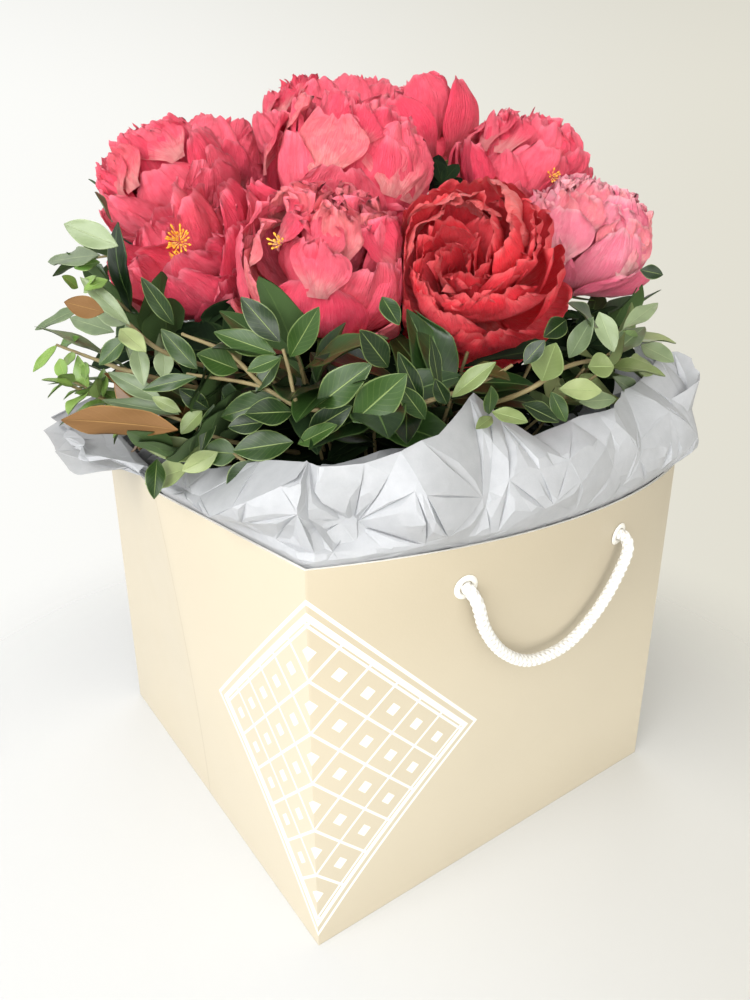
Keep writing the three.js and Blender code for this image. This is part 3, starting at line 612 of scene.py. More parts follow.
def spline(points, share):
    """A point of the centripetal Catmull-Rom curve through some points."""
    points = [np.asarray(p, float) for p in points]
    at = share * (len(points) - 1)
    i = min(int(at), len(points) - 2)
    weight = at - i
    p1, p2 = points[i], points[i + 1]
    p0 = points[i - 1] if i > 0 else 2 * p1 - p2
    p3 = points[i + 2] if i + 2 < len(points) else 2 * p2 - p1
    d0, d1, d2 = (math.sqrt(np.linalg.norm(b - a)) for a, b in ((p0, p1), (p1, p2), (p2, p3)))
    t1 = ((p1 - p0) / d0 - (p2 - p0) / (d0 + d1) + (p2 - p1) / d1) * d1
    t2 = ((p2 - p1) / d1 - (p3 - p1) / (d1 + d2) + (p3 - p2) / d2) * d1
    c2 = -3 * p1 + 3 * p2 - 2 * t1 - t2
    c3 = 2 * p1 - 2 * p2 + t1 + t2
    return p1 + weight * (t1 + weight * (c2 + weight * c3))


def spline_points(points, count):
    """Points at even shares of the curve through some points."""
    return np.array([spline(points, i / count) for i in range(count + 1)])


def evenly(path, count):
    """A path's points again, an even distance apart."""
    far = travelled(path)
    wanted = np.linspace(0, far[-1], count)
    return np.stack([np.interp(wanted, far, path[:, k]) for k in range(3)], -1)


def tube(path, radius, sides):
    """Rings of points round a path. The radius may change along the path and round it."""
    ahead = unit(np.gradient(path, axis=0))
    side = unit(np.cross(ahead[0], [0.31, 0.52, 0.79]))
    sideways = []
    for direction in ahead:
        side = unit(side - direction * (side @ direction))
        sideways.append(side)
    sideways = np.array(sideways)
    over = np.cross(ahead, sideways)
    angle = round_turn(sides)[None, :, None]
    ring = sideways[:, None] * np.cos(angle) + over[:, None] * np.sin(angle)
    radius = np.asarray(radius, float)
    wide = radius if radius.ndim == 2 else np.broadcast_to(radius, len(path))[:, None]
    return path[:, None] + ring * wide[..., None]


def turned(points, place, direction):
    """Points made round +Z, turned to face along a direction from a place."""
    turn = np.array(Vector((0, 0, 1)).rotation_difference(Vector(direction)).to_matrix())
    return points @ turn.T + np.asarray(place)


# The carrier bag


def face_bow(x, z):
    """How far the front and back faces bow out."""
    return FACE_BOW * (1 - (2 * x / BAG_WIDTH) ** 2) * (z / BAG_HEIGHT) ** BOW_POWER


def gusset_bulge(y, z):
    """How far the side faces bulge out."""
    return GUSSET_BULGE * (1 - np.abs(2 * y) / BAG_DEPTH) * (z / BAG_HEIGHT) ** BOW_POWER


def bag_point(turn, z):
    """Points of the bag's outside: turn runs 0 to 4 along the front, right, back and left faces."""
    turn, z = np.broadcast_arrays(np.mod(np.asarray(turn, float), 4), np.asarray(z, float))
    side = np.floor(turn)
    x = (turn - side - 0.5) * BAG_WIDTH
    y = (turn - side - 0.5) * BAG_DEPTH
    bow, bulge = face_bow(x, z), gusset_bulge(y, z)
    sides = [side == 0, side == 1, side == 2]
    px = np.select(sides, [x, BAG_WIDTH / 2 + bulge, -x], -BAG_WIDTH / 2 - bulge)
    py = np.select(sides, [-BAG_DEPTH / 2 - bow, y, BAG_DEPTH / 2 + bow], -y)
    return np.stack([px, py, z], -1)


FACE_COLUMNS = 40
BAG_TURNS = np.arange(4 * FACE_COLUMNS) / FACE_COLUMNS


def bag_ring(z, inset):
    """A ring of the bag at a height, set in from the outside by an inset."""
    outer = bag_point(BAG_TURNS, z)
    ahead = np.roll(outer, -1, 0) - outer
    inward = unit(np.stack([-ahead[:, 1], ahead[:, 0], 0 * ahead[:, 0]], -1))
    mitre = unit(inward + np.roll(inward, 1, 0))
    return outer + mitre * (inset / (mitre * inward).sum(-1, keepdims=True))


def make_bag(paper, edge):
    """The paper shell: outside, white cut rim, folded hem and inside, with its floor."""
    hem = BAG_HEIGHT - HEM_DEPTH
    up = np.concatenate([np.linspace(0, 0.01, 4), np.linspace(0.02, BAG_HEIGHT, 40)])
    outside = [(z, 0.0) for z in up]
    rim = [(BAG_HEIGHT, 0.0), (BAG_HEIGHT, LINED_WALL)]
    lined = [(z, LINED_WALL) for z in np.linspace(BAG_HEIGHT, hem, 8)]
    inside = [(z, BAG_WALL) for z in np.linspace(hem - 0.0002, BAG_WALL, 24)]
    sheets = Sheets()
    around = np.where(BAG_TURNS <= 2, BAG_TURNS, BAG_TURNS - 4)
    distance = around * np.where(around > 0, BAG_WIDTH, BAG_DEPTH)
    for rows, slot in ((outside, 0), (rim, 1), (lined + inside, 0)):
        grid = np.array([bag_ring(z, inset) for z, inset in rows])
        level = np.array([[z] for z, _ in rows]) + (0 if rows is outside else 1)
        uv = np.stack(np.broadcast_arrays(distance[None, :], level), -1)
        sheets.add(grid, uv=uv, closed=True, slot=slot)
    size = len(BAG_TURNS)
    sheets.cap(0, size, (0, 0, 0), flip=True)
    sheets.cap(sheets.count - 1 - size, size, (0, 0, BAG_WALL))
    return sheets.piece("carrier_bag", [paper, edge], "bag", ["bag"], sharp=math.radians(24))


def eyelet_places():
    """Face, side, centre and outward direction of each eyelet."""
    found = []
    for face in (-1, 1):
        for side in (-1, 1):
            x = side * EYELET_X
            slope_x = 8 * FACE_BOW * x * (EYELET_Z / BAG_HEIGHT) ** BOW_POWER / BAG_WIDTH**2
            step = 0.001
            slope_z = (face_bow(x, EYELET_Z + step) - face_bow(x, EYELET_Z - step)) / (2 * step)
            centre = np.array([x, face * (BAG_DEPTH / 2 + face_bow(x, EYELET_Z)), EYELET_Z])
            found.append((face, side, centre, unit(np.array([slope_x, face, -slope_z]))))
    return found


def make_eyelet(name, centre, out, material):
    """A domed eyelet, turned from a rounded profile."""
    flange = [
        (EYELET_BORE, -0.0023),
        (EYELET_BORE, 0.0004),
        (EYELET_BORE + 0.0003, 0.0011),
        (EYELET_BARREL + 0.0004, 0.0014),
        (EYELET_BARREL + 0.0016, 0.0012),
        (EYELET_FLANGE - 0.0003, 0.0006),
        (EYELET_FLANGE, 0.0003),
        (EYELET_BARREL, 0.0002),
        (EYELET_BARREL, -0.0023),
        (EYELET_BORE, -0.0023),
    ]
    grid = np.stack(spun(*rings_of(flange), 40), -1)
    sheets = Sheets().add(turned(grid, centre, out), closed=True)
    return sheets.piece(f"{name}_ring", [material], "eyelet", [name], sharp=math.radians(50))


ROPE_CLEARANCE = 0.0045
ROPE_HANG = ((0.99, 0.0086, -0.006), (0.88, 0.0082, -0.024), (0.64, 0.0072, -0.044))
ROPE_LOW = ((-0.3, 0.0028), (0, 0), (0.3, 0.0028))
ROPE_LOW_OUT = 0.0066


def rope_half(centre, out, face):
    """Half of the handle's route: from its end inside the bag, through an eyelet, to where it hangs."""
    x, y, z = centre
    hanging = [np.array([x * share, y + face * away, z + rise]) for share, away, rise in ROPE_HANG]
    return [centre - out * (LINED_WALL + ROPE_TAIL), centre, centre + out * ROPE_CLEARANCE, *hanging]


def rope_route(left, right, face):
    """The handle's route from one end inside the bag to the other."""
    y, low = left[0][1] + face * ROPE_LOW_OUT, EYELET_Z - ROPE_DROP
    lows = [np.array([share * EYELET_X, y, low + rise]) for share, rise in ROPE_LOW]
    return rope_half(*left, face) + lows + rope_half(*right, face)[::-1]


ROPE_STITCH = 0.0042
ROPE_SIDES = 20


def knitted(path, length):
    """A cord's points and how deep each lies in its grooves, for the painted shade there: plump stitches in
    two slants round it.
    """
    along = np.linspace(0, length, len(path))[:, None] * 2 * math.pi / ROPE_STITCH
    angle = round_turn(ROPE_SIDES)[None, :]
    stitch = np.abs(np.sin((along + 4 * angle) / 2)) * np.abs(np.sin((along - 4 * angle) / 2))
    radius = ROPE_RADIUS * (0.9 + 0.2 * np.sqrt(stitch))
    return tube(path, radius, ROPE_SIDES), 1 - smooth(stitch, 0.0, 0.35)


def make_rope(name, face, eyelets, material):
    """A knitted handle through two eyelets, with a knot at each end."""
    left, right = [(centre, out) for where, side, centre, out in eyelets if where == face]
    path = evenly(spline_points(rope_route(left, right, face), 240), 320)
    length = np.linalg.norm(np.diff(path, axis=0), axis=1).sum()
    grid, groove = knitted(path, length)
    sheets = Sheets().add(grid, closed=True, groove=groove)
    sheets.cap(0, ROPE_SIDES, path[0], flip=True).cap(sheets.count - 1 - ROPE_SIDES, ROPE_SIDES, path[-1])
    rope = sheets.piece(f"handle_cord_{name}", [material], "rope", [f"rope_{name}"])
    ends = {"left": left, "right": right}
    knots = [make_knot(f"knot_{name}_{side}", *end, material) for side, end in ends.items()]


def make_knot(name, centre, out, material):
    """A hard-drawn knot: a flattened ball with three raised turns of the cord."""
    polar = np.linspace(0.03, math.pi - 0.03, 28)[:, None]
    turn = np.abs(np.sin(1.5 * round_turn(48)[None, :] + 2.2 * polar))
    radius = KNOT_RADIUS * (0.86 + 0.13 * np.sqrt(turn))
    ball = np.stack(spun(radius * np.sin(polar), KNOT_FLATNESS * radius * np.cos(polar), 48), -1)
    place = centre - out * (LINED_WALL + ROPE_TAIL + GAP + KNOT_RADIUS * KNOT_FLATNESS)
    # Painted shade in the grooves between the knot's raised turns
    sheets = Sheets().add(turned(ball, place, out), closed=True, groove=1 - smooth(turn, 0, 0.5))
    return sheets.piece(f"{name}_cord", [material], "rope", [name])


# Tissue: where each sheet starts and ends round the mouth, and its tops in millimetres

TISSUES = {
    "front": (3.52, 5.1, [258, 264, 274, 286, 296, 296, 296, 300, 316, 290, 298, 300, 304, 316, 328, 324]),
    "right": (1.104, 2.474, [322, 300, 284, 284, 276, 286, 280, 274, 286, 280, 274, 284, 272]),
    "left": (2.476, 3.48, [274, 282, 272, 266, 266, 270, 264, 264, 258, 262, 258]),
}
TISSUE_LEVELS = [0.190, 0.230, 0.247]
SEAT_INSET = LINED_WALL + GAP + 0.0008
KNOT_INSET = 0.022
HOLLOW_SHARES = (0.04, 0.16)
TISSUE_SLOPE = 0.42
CORNER_SAVED = 0.85
CORNER_TURNS = (0.68, 0.92, 1.12, 1.5)
FLARE_REACH = 0.042
FLARE_TURNS = (2.7, 2.95, 3.3, 3.5)
FOLDS = [(0.066, 0.050), (0.032, 0.015), (0.013, 0.0022), (0.0065, 0.0005)]
SHARP_DEPTH = 0.01
RIM_ROWS = (-0.0030, 0.0006, 0.0040)
RIM_SPACING = 0.009
RIM_TURN = 0.2415
RIM_TOP = 0.0040
RIM_ROLL = 0.005
ROLL_RISE = (0.0005, 0.006)
ROLL_FALL = (0.256, 0.285)
LOOSE_FROM = 0.251
LOOSE_HEIGHT = 0.060
TISSUE_BULGE = 0.008
TISSUE_SLIP = 0.8
OUTER_SEED = 11
INNER_SEED = 31
INNER_SHRINK = 0.010
INNER_INWARD = 0.007
INNER_OVERLAP = 0.09
OVERHANG = 0.188
OVERHANG_SAVED = 0.7
CRUMPLED_SHARE = 1.1
CREASE_ANGLE = math.radians(16)


def between(value, low, full_from, full_to, high):
    """1 in the middle of a range, easing to 0 at both its ends."""
    return smooth(value, low, full_from) * (1 - smooth(value, full_to, high))


def tissue_inset(turn, level, z):
    """How far a sheet lies inside the bag's wall."""
    share = turn - math.floor(turn)
    handled = math.floor(turn) % 2 == 0
    hollow = smooth(min(share, 1 - share), *HOLLOW_SHARES) if handled else 0
    if level < 2:
        return SEAT_INSET + (KNOT_INSET - SEAT_INSET) * hollow
    if level == 2:
        return SEAT_INSET + GAP
    flare = between(turn, *FLARE_TURNS)
    corner = between(turn % 4, *CORNER_TURNS)
    rising = SEAT_INSET + TISSUE_SLOPE * (1 - CORNER_SAVED * corner) * (z - BAG_HEIGHT)
    return rising * (1 - flare) - FLARE_REACH * flare


def inside_point(turn, z, inset):
    """A point inside the bag's wall by an inset, which may be negative above the rim."""
    x, y, _ = bag_point(turn, min(z, BAG_HEIGHT))
    if math.floor(turn) % 2 == 0:
        limit = BAG_WIDTH / 2 - inset
        return np.array([np.clip(x, -limit, limit), y - math.copysign(1, y) * inset, z])
    limit = BAG_DEPTH / 2 - inset
    return np.array([x - math.copysign(1, x) * inset, np.clip(y, -limit, limit), z])


def facets(width, low, high, spacing, stream):
    """Loosely spaced spots over a strip, with some along its edges, and the flat triangles between them."""
    columns, rows = max(2, round(width / spacing)), max(2, round((high - low) / spacing))
    spots = []
    for row in range(rows + 1):
        for column in range(columns + 1):
            slide = 0.5 * (row % 2) - 0.25 + 0.7 * (next(stream) - 0.5)
            lift = 0.8 * (next(stream) - 0.5)
            across = column + (slide if 0 < column < columns else 0)
            up = row + (lift if 0 < row < rows else 0)
            spots.append(Vector((across * width / columns, low + up * (high - low) / rows)))
    corners, edges, triangles, *_ = delaunay_2d_cdt(spots, [], [], 0, 1e-7)
    return [Vector(corner) for corner in corners], edges, triangles


def heights_over(points, corners, triangles, heights):
    """The height at each point, straight across each triangle."""
    spots = np.array([tuple(corner) for corner in corners])
    found = np.zeros(len(points))
    for a, b, c in triangles:
        base, p, q = spots[a], spots[b] - spots[a], spots[c] - spots[a]
        area = p[0] * q[1] - p[1] * q[0]
        dx, dz = (points - base).T
        s, t = (dx * q[1] - dz * q[0]) / area, (dz * p[0] - dx * p[1]) / area
        inside = (s >= -1e-5) & (t >= -1e-5) & (s + t <= 1 + 1e-5)
        found = np.where(inside, heights[a] * (1 - s - t) + heights[b] * s + heights[c] * t, found)
    return found


def creased(width, low, high, stream):
    """A strip's flat facets with folds of every size between them: points, triangles, rise and slip."""
    spots, edges, heights = [], [], []
    for spacing, depth in FOLDS:
        corners, sides, triangles = facets(width, low, high, spacing, stream)
        rise = np.array([depth * (next(stream) - 0.5) for _ in corners])
        heights.append((corners, triangles, rise))
        if depth > SHARP_DEPTH:
            edges += [(a + len(spots), b + len(spots)) for a, b in sides]
        spots += corners
    for row in RIM_ROWS:
        count = int(width / RIM_SPACING)
        edges += [(len(spots) + i, len(spots) + i + 1) for i in range(count)]
        spots += [Vector((width * i / count, row)) for i in range(count + 1)]
    points, _, triangles, *_ = delaunay_2d_cdt(spots, edges, [], 0, 1e-6)
    points = np.array([tuple(point) for point in points])
    rise = sum(heights_over(points, *level) for level in heights)
    slip = heights_over(points, *heights[1])
    return points, triangles, rise, slip


def sheet_place(turn, height, top, inward):
    """A point of a smooth sheet, at a height above its row at the rim, and its share of the way up."""
    share = max(height, 0) / LOOSE_HEIGHT
    risen = height
    if height >= RIM_TOP:
        risen = RIM_TOP + (height - RIM_TOP) / (LOOSE_HEIGHT - RIM_TOP) * (top - LOOSE_FROM)
    z = TISSUE_LEVELS[2] + risen
    if height < 0:
        insets = [tissue_inset(turn, level, z) for level in range(3)]
        inset = np.interp(z, [*TISSUE_LEVELS[:2], RIM_TURN], insets)
    else:
        inset = tissue_inset(turn, 2, z) * (1 - share) + tissue_inset(turn, 3, z) * share
    rolled = RIM_ROLL * smooth(z, *(BAG_HEIGHT + rise for rise in ROLL_RISE))
    roll = rolled * (1 - smooth(z, *ROLL_FALL))
    return inside_point(turn, z, inset + inward - roll), share


def make_tissue(name, material, seed, shrink=0.0, inward=0.0, nodes=()):
    """A creased sheet that follows the CAD sheet's rows, crumpled more the higher it stands above the rim."""
    start, end, tops = TISSUES[name]
    if inward:
        start, end = start - INNER_OVERLAP, end + INNER_OVERLAP
    turns = np.linspace(start, end, 8 * len(tops))
    far = travelled(np.array([inside_point(turn, TISSUE_LEVELS[2], SEAT_INSET + inward) for turn in turns]))
    low = TISSUE_LEVELS[0] - TISSUE_LEVELS[2]
    points, triangles, rise, slip = creased(far[-1], low, LOOSE_HEIGHT, draws(seed))
    placed = np.empty((len(points), 3))
    for i, (along, height) in enumerate(points):
        turn = np.interp(along, far, turns)
        top = np.interp(turn, np.linspace(start, end, len(tops)), tops) * MILLIMETRE - shrink
        placed[i], share = sheet_place(turn, height, top, inward)
        loose = smooth(placed[i, 2], BAG_HEIGHT + 0.001, BAG_HEIGHT + 0.022)
        out = unit(placed[i] * [1, 1, 0])
        placed[i] += out * (rise[i] + TISSUE_BULGE * math.sin(math.pi * share)) * loose
        placed[i, 2] += TISSUE_SLIP * slip[i] * share
    placed[:, 1] -= OVERHANG_SAVED * np.minimum(placed[:, 1] + OVERHANG, 0)
    title = f"tissue_sheet_{name}" + ("_inner" if inward else "")
    sheets = Sheets().gather(placed, triangles, points * 10)
    piece = sheets.piece(title, [material], "tissue", nodes, sharp=CREASE_ANGLE)
    flat = (far[-1], area_of(placed, triangles) / far[-1] / CRUMPLED_SHARE)


def area_of(points, triangles):
    """The area of some triangles."""
    a, b, c = (points[np.array(triangles)[:, k]] for k in range(3))
    return np.linalg.norm(np.cross(b - a, c - a), axis=-1).sum() / 2


# Peonies: middle, reach, the way the head faces, form, turn in degrees, and colour

BLOOMS = {
    "01": ((-0.113, 0.041, 0.384), 0.054, (-0.6, -0.11, 0.8), "cup", 20, "coral"),
    "02": ((-0.100, 0.112, 0.428), 0.050, (-0.47, 0.23, 0.85), "ball", 75, "coral"),
    "03": ((-0.030, 0.162, 0.443), 0.048, (0.31, 0.43, 0.85), "hidden", 10, "coral"),
    "04": ((0.014, 0.103, 0.468), 0.045, (-0.03, 0.31, 0.95), "ball", 50, "coral"),
    "05": ((-0.008, 0.017, 0.433), 0.059, (0.21, -0.05, 0.98), "ball", 35, "coral"),
    "06": ((0.095, 0.150, 0.484), 0.046, (0.48, 0.3, 0.83), "hidden", 0, "coral"),
    "07": ((0.104, 0.071, 0.474), 0.046, (-0.12, 0.36, 0.93), "goblet", 15, "coral"),
    "08": ((0.120, -0.018, 0.434), 0.053, (0.25, -0.09, 0.96), "ball", 60, "coral"),
    "09": ((-0.058, -0.035, 0.374), 0.058, (-0.11, -0.34, 0.94), "ball", 25, "coral"),
    "10": ((0.014, -0.088, 0.374), 0.056, (-0.61, -0.6, 0.52), "rose", 5, "red"),
    "11": ((0.122, -0.076, 0.390), 0.052, (0.05, -0.21, 0.98), "ball", 40, "pink"),
    "12": ((0.035, 0.158, 0.400), 0.048, (0.1, 0.62, 0.78), "hidden", 30, "coral"),
    "13": ((0.154, 0.064, 0.400), 0.047, (0.55, 0.55, 0.63), "rose", 55, "coral"),
}
STEM_LEAN = {"13": (0.004, -0.010)}
PETAL_SOFTNESS = 0.005
PETAL_TWIST = 0.13
HEEL_LEVEL = -0.66
PETAL_SLOTS = {"coral": "petal", "red": "petal_red", "pink": "petal_pink"}


class Bloom:
    """A peony head's place, reach and own directions."""

    def __init__(self, name):
        middle, self.reach, faces, self.form, self.turn, self.hue = BLOOMS[name]
        self.name = name
        self.middle = np.array(middle)
        self.axis = unit(np.array(faces, float))
        self.across = unit(np.cross([0, 0, 1], self.axis))
        self.up = np.cross(self.axis, self.across)

    def shortened(self, at, order):
        """How much of its length a petal keeps: the open bloom lets the eye in on its near side."""
        facing = max(0.0, math.cos(at - self.angle_to(TO_EYE - 0.35 * TO_RIGHT))) ** 3
        if self.form == "cup":
            return 1 - min(0.08 + 0.1 * order, 0.3) * facing
        if self.form == "ball":
            return 1 - max(0.24 - 0.1 * order, 0) * facing
        return 1.0

    def angle_to(self, way):
        """The angle, round the bloom's axis, of a direction in the bag's frame."""
        return math.atan2(way @ self.up, way @ self.across)

    def placed(self, x, y, z):
        """Points in the bloom's own frame, placed in the bag's."""
        parts = zip((x, y, z), (self.across, self.up, self.axis))
        return self.middle + sum(np.asarray(value)[..., None] * way for value, way in parts)


HEADS = [Bloom(name) for name in BLOOMS]


def held(travel):
    """How far to bend softly back what would pass a limit, where travel is how far past it is."""
    eased = -PETAL_SOFTNESS * np.exp(-(travel + PETAL_SOFTNESS) / PETAL_SOFTNESS) - travel
    return np.where(travel <= -PETAL_SOFTNESS, 0.0, eased)


def pressed(points, bloom, share):
    """Keeps points of a bloom inside a share of its reach and clear of the blooms that press on it."""
    away = points - bloom.middle
    far = np.linalg.norm(away, axis=-1, keepdims=True)
    points = points + away / np.maximum(far, 0.001) * held(far - share * bloom.reach)
    for other in HEADS:
        towards = other.middle - bloom.middle
        apart = np.linalg.norm(towards)
        if other is bloom or apart > bloom.reach + other.reach:
            continue
        towards = towards / apart
        border = (apart**2 + bloom.reach**2 - other.reach**2) / (2 * apart)
        points = points + held((points - bloom.middle) @ towards - border)[..., None] * towards
    return points


LAYER_VALUES = ("count", "foot", "length", "width", "start", "end", "cup", "ruffle", "spread", "flare")
PLAIN_LAYER = dict(ruffle=0.02, spread=0.0, flare=0.0, within=1.0, fine=25)


def layer(*values, **more):
    """A ring of like petals: angles in degrees from the bloom's level, the rest in shares of its reach."""
    return {**PLAIN_LAYER, **dict(zip(LAYER_VALUES, values)), **more}


GUARD = dict(foot=(0.22, -0.55), length=1.52, width=1.12, start=-4, cup=1.05)
CAD_LAYERS = {
    "ball": [layer(5, end=112, **GUARD), layer(4, (0.28, -0.3), 1.25, 1.0, 24, 118, 1.2)],
    "hidden": [layer(5, end=112, **GUARD), layer(3, (0.28, -0.3), 1.25, 1.1, 24, 118, 1.2)],
    "cup": [layer(5, end=100, **GUARD), layer(4, (0.22, -0.42), 1.26, 1.0, 10, 108, 1.2)],
    "rose": [layer(5, end=106, **GUARD), layer(4, (0.26, -0.3), 1.2, 1.0, 18, 112, 1.2)],
    "goblet": [
        layer(4, (0.2, -0.57), 1.6, 1.36, 2, 112, 1.1),
        layer(4, (0.26, -0.3), 1.2, 0.9, 30, 112, 1.25),
    ],
}
CROWN = [
    layer(6, (0.26, -0.34), 1.22, 0.9, 24, 124, 1.2, 0.04, 0.12, 20, within=0.97),
    layer(7, (0.24, -0.3), 1.2, 0.76, 36, 128, 1.2, 0.05, 0.16, 28, within=0.95, fine=21),
    layer(8, (0.2, -0.28), 1.13, 0.64, 46, 126, 1.2, 0.06, 0.2, 34, within=0.94, fine=21),
    layer(8, (0.15, -0.26), 1.08, 0.54, 57, 120, 1.2, 0.07, 0.22, 40, within=0.93, fine=19),
    layer(8, (0.09, -0.25), 1.02, 0.46, 68, 110, 1.2, 0.08, 0.22, 40, within=0.92, fine=19),
    layer(6, (0.03, -0.25), 0.96, 0.38, 78, 100, 1.2, 0.08, 0.2, 34, within=0.91, fine=17),
]
SKIRT = layer(4, (0.2, -0.56), 1.28, 1.2, -16, 72, 0.8, 0.04, 0.2, 30, within=1.12)
SAUCER = layer(5, (0.2, -0.56), 1.2, 1.25, -16, 50, 0.8, 0.05, 0.2, 10, within=1.17)
HUGGING = layer(5, (0.22, -0.5), 1.3, 1.15, 0, 118, 1.05, 0.03, 0.1, 8, within=1.01)
COLLAR = layer(5, (0.22, -0.5), 1.34, 1.1, 0, 104, 1.0, 0.035, 0.16, 30, within=1.03)
SCALES = [
    layer(7, (0.93, -0.2), 0.8, 0.9, 76, 122, 1.1, 0.04, 0.2, 24, within=1.04),
    layer(8, (0.84, 0.12), 0.62, 0.74, 98, 140, 1.1, 0.05, 0.24, 30, within=1.01, fine=21),
]
CRUMPLED = [
    layer(7, (0.86, 0.1), 0.6, 0.66, 92, 148, 1.1, 0.07, 0.3, 40, within=1.01, fine=23),
    layer(8, (0.62, 0.34), 0.52, 0.52, 104, 150, 1.1, 0.09, 0.3, 50, within=0.98, fine=21),
    layer(7, (0.34, 0.44), 0.46, 0.44, 96, 130, 1.1, 0.09, 0.3, 50, within=0.97, fine=19),
]
CUPPED = [
    layer(5, (0.22, -0.5), 1.36, 1.15, 0, 100, 1.0, 0.035, 0.14, 24, within=1.03),
    layer(5, (0.2, -0.44), 1.1, 0.95, 10, 104, 1.2, 0.05, 0.2, 30, within=0.96),
    layer(4, (0.2, -0.42), 0.9, 0.7, 24, 112, 1.2, 0.06, 0.2, 30, within=0.92, fine=21),
]
WOUND = [
    layer(5, (0.22, -0.48), 1.38, 1.1, 2, 106, 1.1, 0.035, 0.12, 18, within=1.02),
    layer(5, (0.24, -0.3), 1.24, 1.05, 28, 112, 1.2, 0.022, 0.08, 20, within=0.98),
    layer(5, (0.2, -0.28), 1.16, 0.98, 38, 108, 1.2, 0.022, 0.08, 22, within=0.97),
    layer(5, (0.16, -0.26), 1.1, 0.88, 48, 104, 1.2, 0.024, 0.08, 24, within=0.95),
    layer(5, (0.12, -0.24), 1.04, 0.76, 57, 102, 1.3, 0.024, 0.08, 24, within=0.93, fine=21),
    layer(4, (0.08, -0.22), 0.98, 0.6, 67, 98, 1.4, 0.026, 0.08, 18, within=0.92, fine=21),
    layer(3, (0.04, -0.2), 0.92, 0.42, 76, 96, 1.5, 0.026, 0.08, 14, within=0.91, fine=19),
]
GOBLET_INNER = layer(4, (0.21, -0.52), 1.5, 1.25, 8, 112, 1.1, 0.02, 0.06, 10, within=0.98)
FILLING = {
    "01": [SKIRT, *CUPPED],
    "02": [SKIRT, COLLAR, SCALES[1], *CROWN],
    "03": [SKIRT, COLLAR, *CROWN],
    "04": [SKIRT, COLLAR, *CRUMPLED, *CROWN[3:]],
    "05": [SAUCER, SKIRT, *SCALES, *CROWN],
    "06": [SKIRT, COLLAR, *CROWN],
    "07": [GOBLET_INNER, *CROWN[2:]],
    "08": [SAUCER, COLLAR, SCALES[1], *CROWN],
    "09": [SKIRT, HUGGING, *CRUMPLED, *CROWN[3:]],
    "10": [SKIRT, *WOUND],
    "11": [SKIRT, *SCALES, *CROWN],
    "12": [SKIRT, COLLAR, *CROWN],
    "13": [SKIRT, *WOUND],
}
NOTCH_DEPTH = 0.09
CREASE_DEPTH = 0.009
CRUMPLE_DEPTH = 0.036
WOUND_LENGTH = 1.2
RIB_STEPS = 60
LOOKS = {
    "upper_left": TO_TOP - 0.6 * TO_RIGHT,
    "upper": TO_TOP,
    "left": -TO_RIGHT + 0.3 * TO_TOP,
    "upper_right": TO_TOP + TO_RIGHT,
    "right": TO_RIGHT,
}
STANDING = {
    "10": [
        (layer(1, (0.64, 0.0), 0.96, 0.86, 66, 142, 1.1, 0.012, within=1.05), "upper_left"),
        (layer(1, (0.5, 0.14), 0.8, 0.7, 66, 150, 1.1, 0.012, within=1.02), "upper"),
        (layer(1, (0.7, -0.06), 0.9, 0.78, 74, 140, 1.1, 0.012, within=1.06), "left"),
        (layer(1, (0.66, 0.0), 0.94, 0.86, 64, 144, 1.1, 0.012, within=1.04), "upper_right"),
        (layer(1, (0.40, -0.1), 1.0, 0.9, 74, 116, 1.1, 0.02, within=0.98), "upper"),
        (layer(1, (0.38, -0.1), 1.0, 0.9, 72, 118, 1.1, 0.02, within=0.97, salmon=0.1), "upper_right"),
        (layer(1, (0.50, -0.1), 1.0, 0.9, 70, 124, 1.1, 0.02, within=0.99, salmon=0.1), "right"),
    ],
    "01": [
        (layer(1, (0.1, -0.4), 1.3, 1.1, 52, 104, 1.2, 0.03, within=0.98), "upper_right"),
        (layer(1, (0.16, -0.4), 1.2, 1.0, 46, 104, 1.2, 0.03, within=0.97), "right"),
    ],
}
SALMON_SHARES = {"01": 0.1, "05": 0.06, "07": 0.1, "09": 0.55, "10": 0.06, "11": 0.35}
STANDING_SALMON = {"10": 0.9}
WOUND_SHIFT = {"10": -0.19 * TO_TOP - 0.1 * TO_RIGHT}


def petal_outline(v):
    """Half-width of a petal along its length, as a share of its full half-width."""
    rising = 0.3 + 0.7 * smooth(v, 0, 0.6)
    return rising * np.sqrt(1 - (np.maximum(v - 0.66, 0) / 0.42) ** 2)


def petals_of(bloom, layers, seed, fresh):
    """The petals of some layers, drawn as the CAD draws them, with looser ones where fresh."""
    stream = draws(seed)
    swing, sway, lead = (1.1, 30, 17) if fresh else (0.3, 12, 0)
    petals = []
    for k, ring in enumerate(layers):
        for i in range(ring["count"]):
            jitter = next(stream) - 0.5
            size = 1 + 0.12 * (next(stream) - 0.5)
            loose = ring["spread"] * (next(stream) - 0.5) if fresh else 0.0
            at = math.radians(bloom.turn + 36 * k + lead) + (i + swing * jitter) * 2 * math.pi / ring["count"]
            length = ring["length"] * (size + loose) * bloom.shortened(at, k + fresh)
            wave = 2 * math.pi * next(stream)
            petals.append(dict(ring, at=at, length=length, end=ring["end"] + sway * jitter, wave=wave))
    for ring, look in STANDING.get(bloom.name, []) if fresh else []:
        salmon = ring.get("salmon", STANDING_SALMON.get(bloom.name, 0.2))
        at = bloom.angle_to(LOOKS[look])
        petals.append(dict(ring, at=at, wave=2 * math.pi * next(stream), salmon=salmon))
    return petals


def petal_rib(petal, reach):
    """The middle line of a petal: shares of its length, and the tilt, distance out and height at each."""
    along = np.linspace(0, 1, RIB_STEPS)
    bend = math.radians(petal["end"] - petal["start"])
    tilt = math.radians(petal["start"]) + bend * along - math.radians(petal["flare"]) * along**5
    step = petal["length"] * reach / RIB_STEPS
    out = petal["foot"][0] * reach + np.concatenate([[0], np.cumsum(np.cos(tilt[:-1]))]) * step
    rise = petal["foot"][1] * reach + np.concatenate([[0], np.cumsum(np.sin(tilt[:-1]))]) * step
    return along, tilt, out, rise


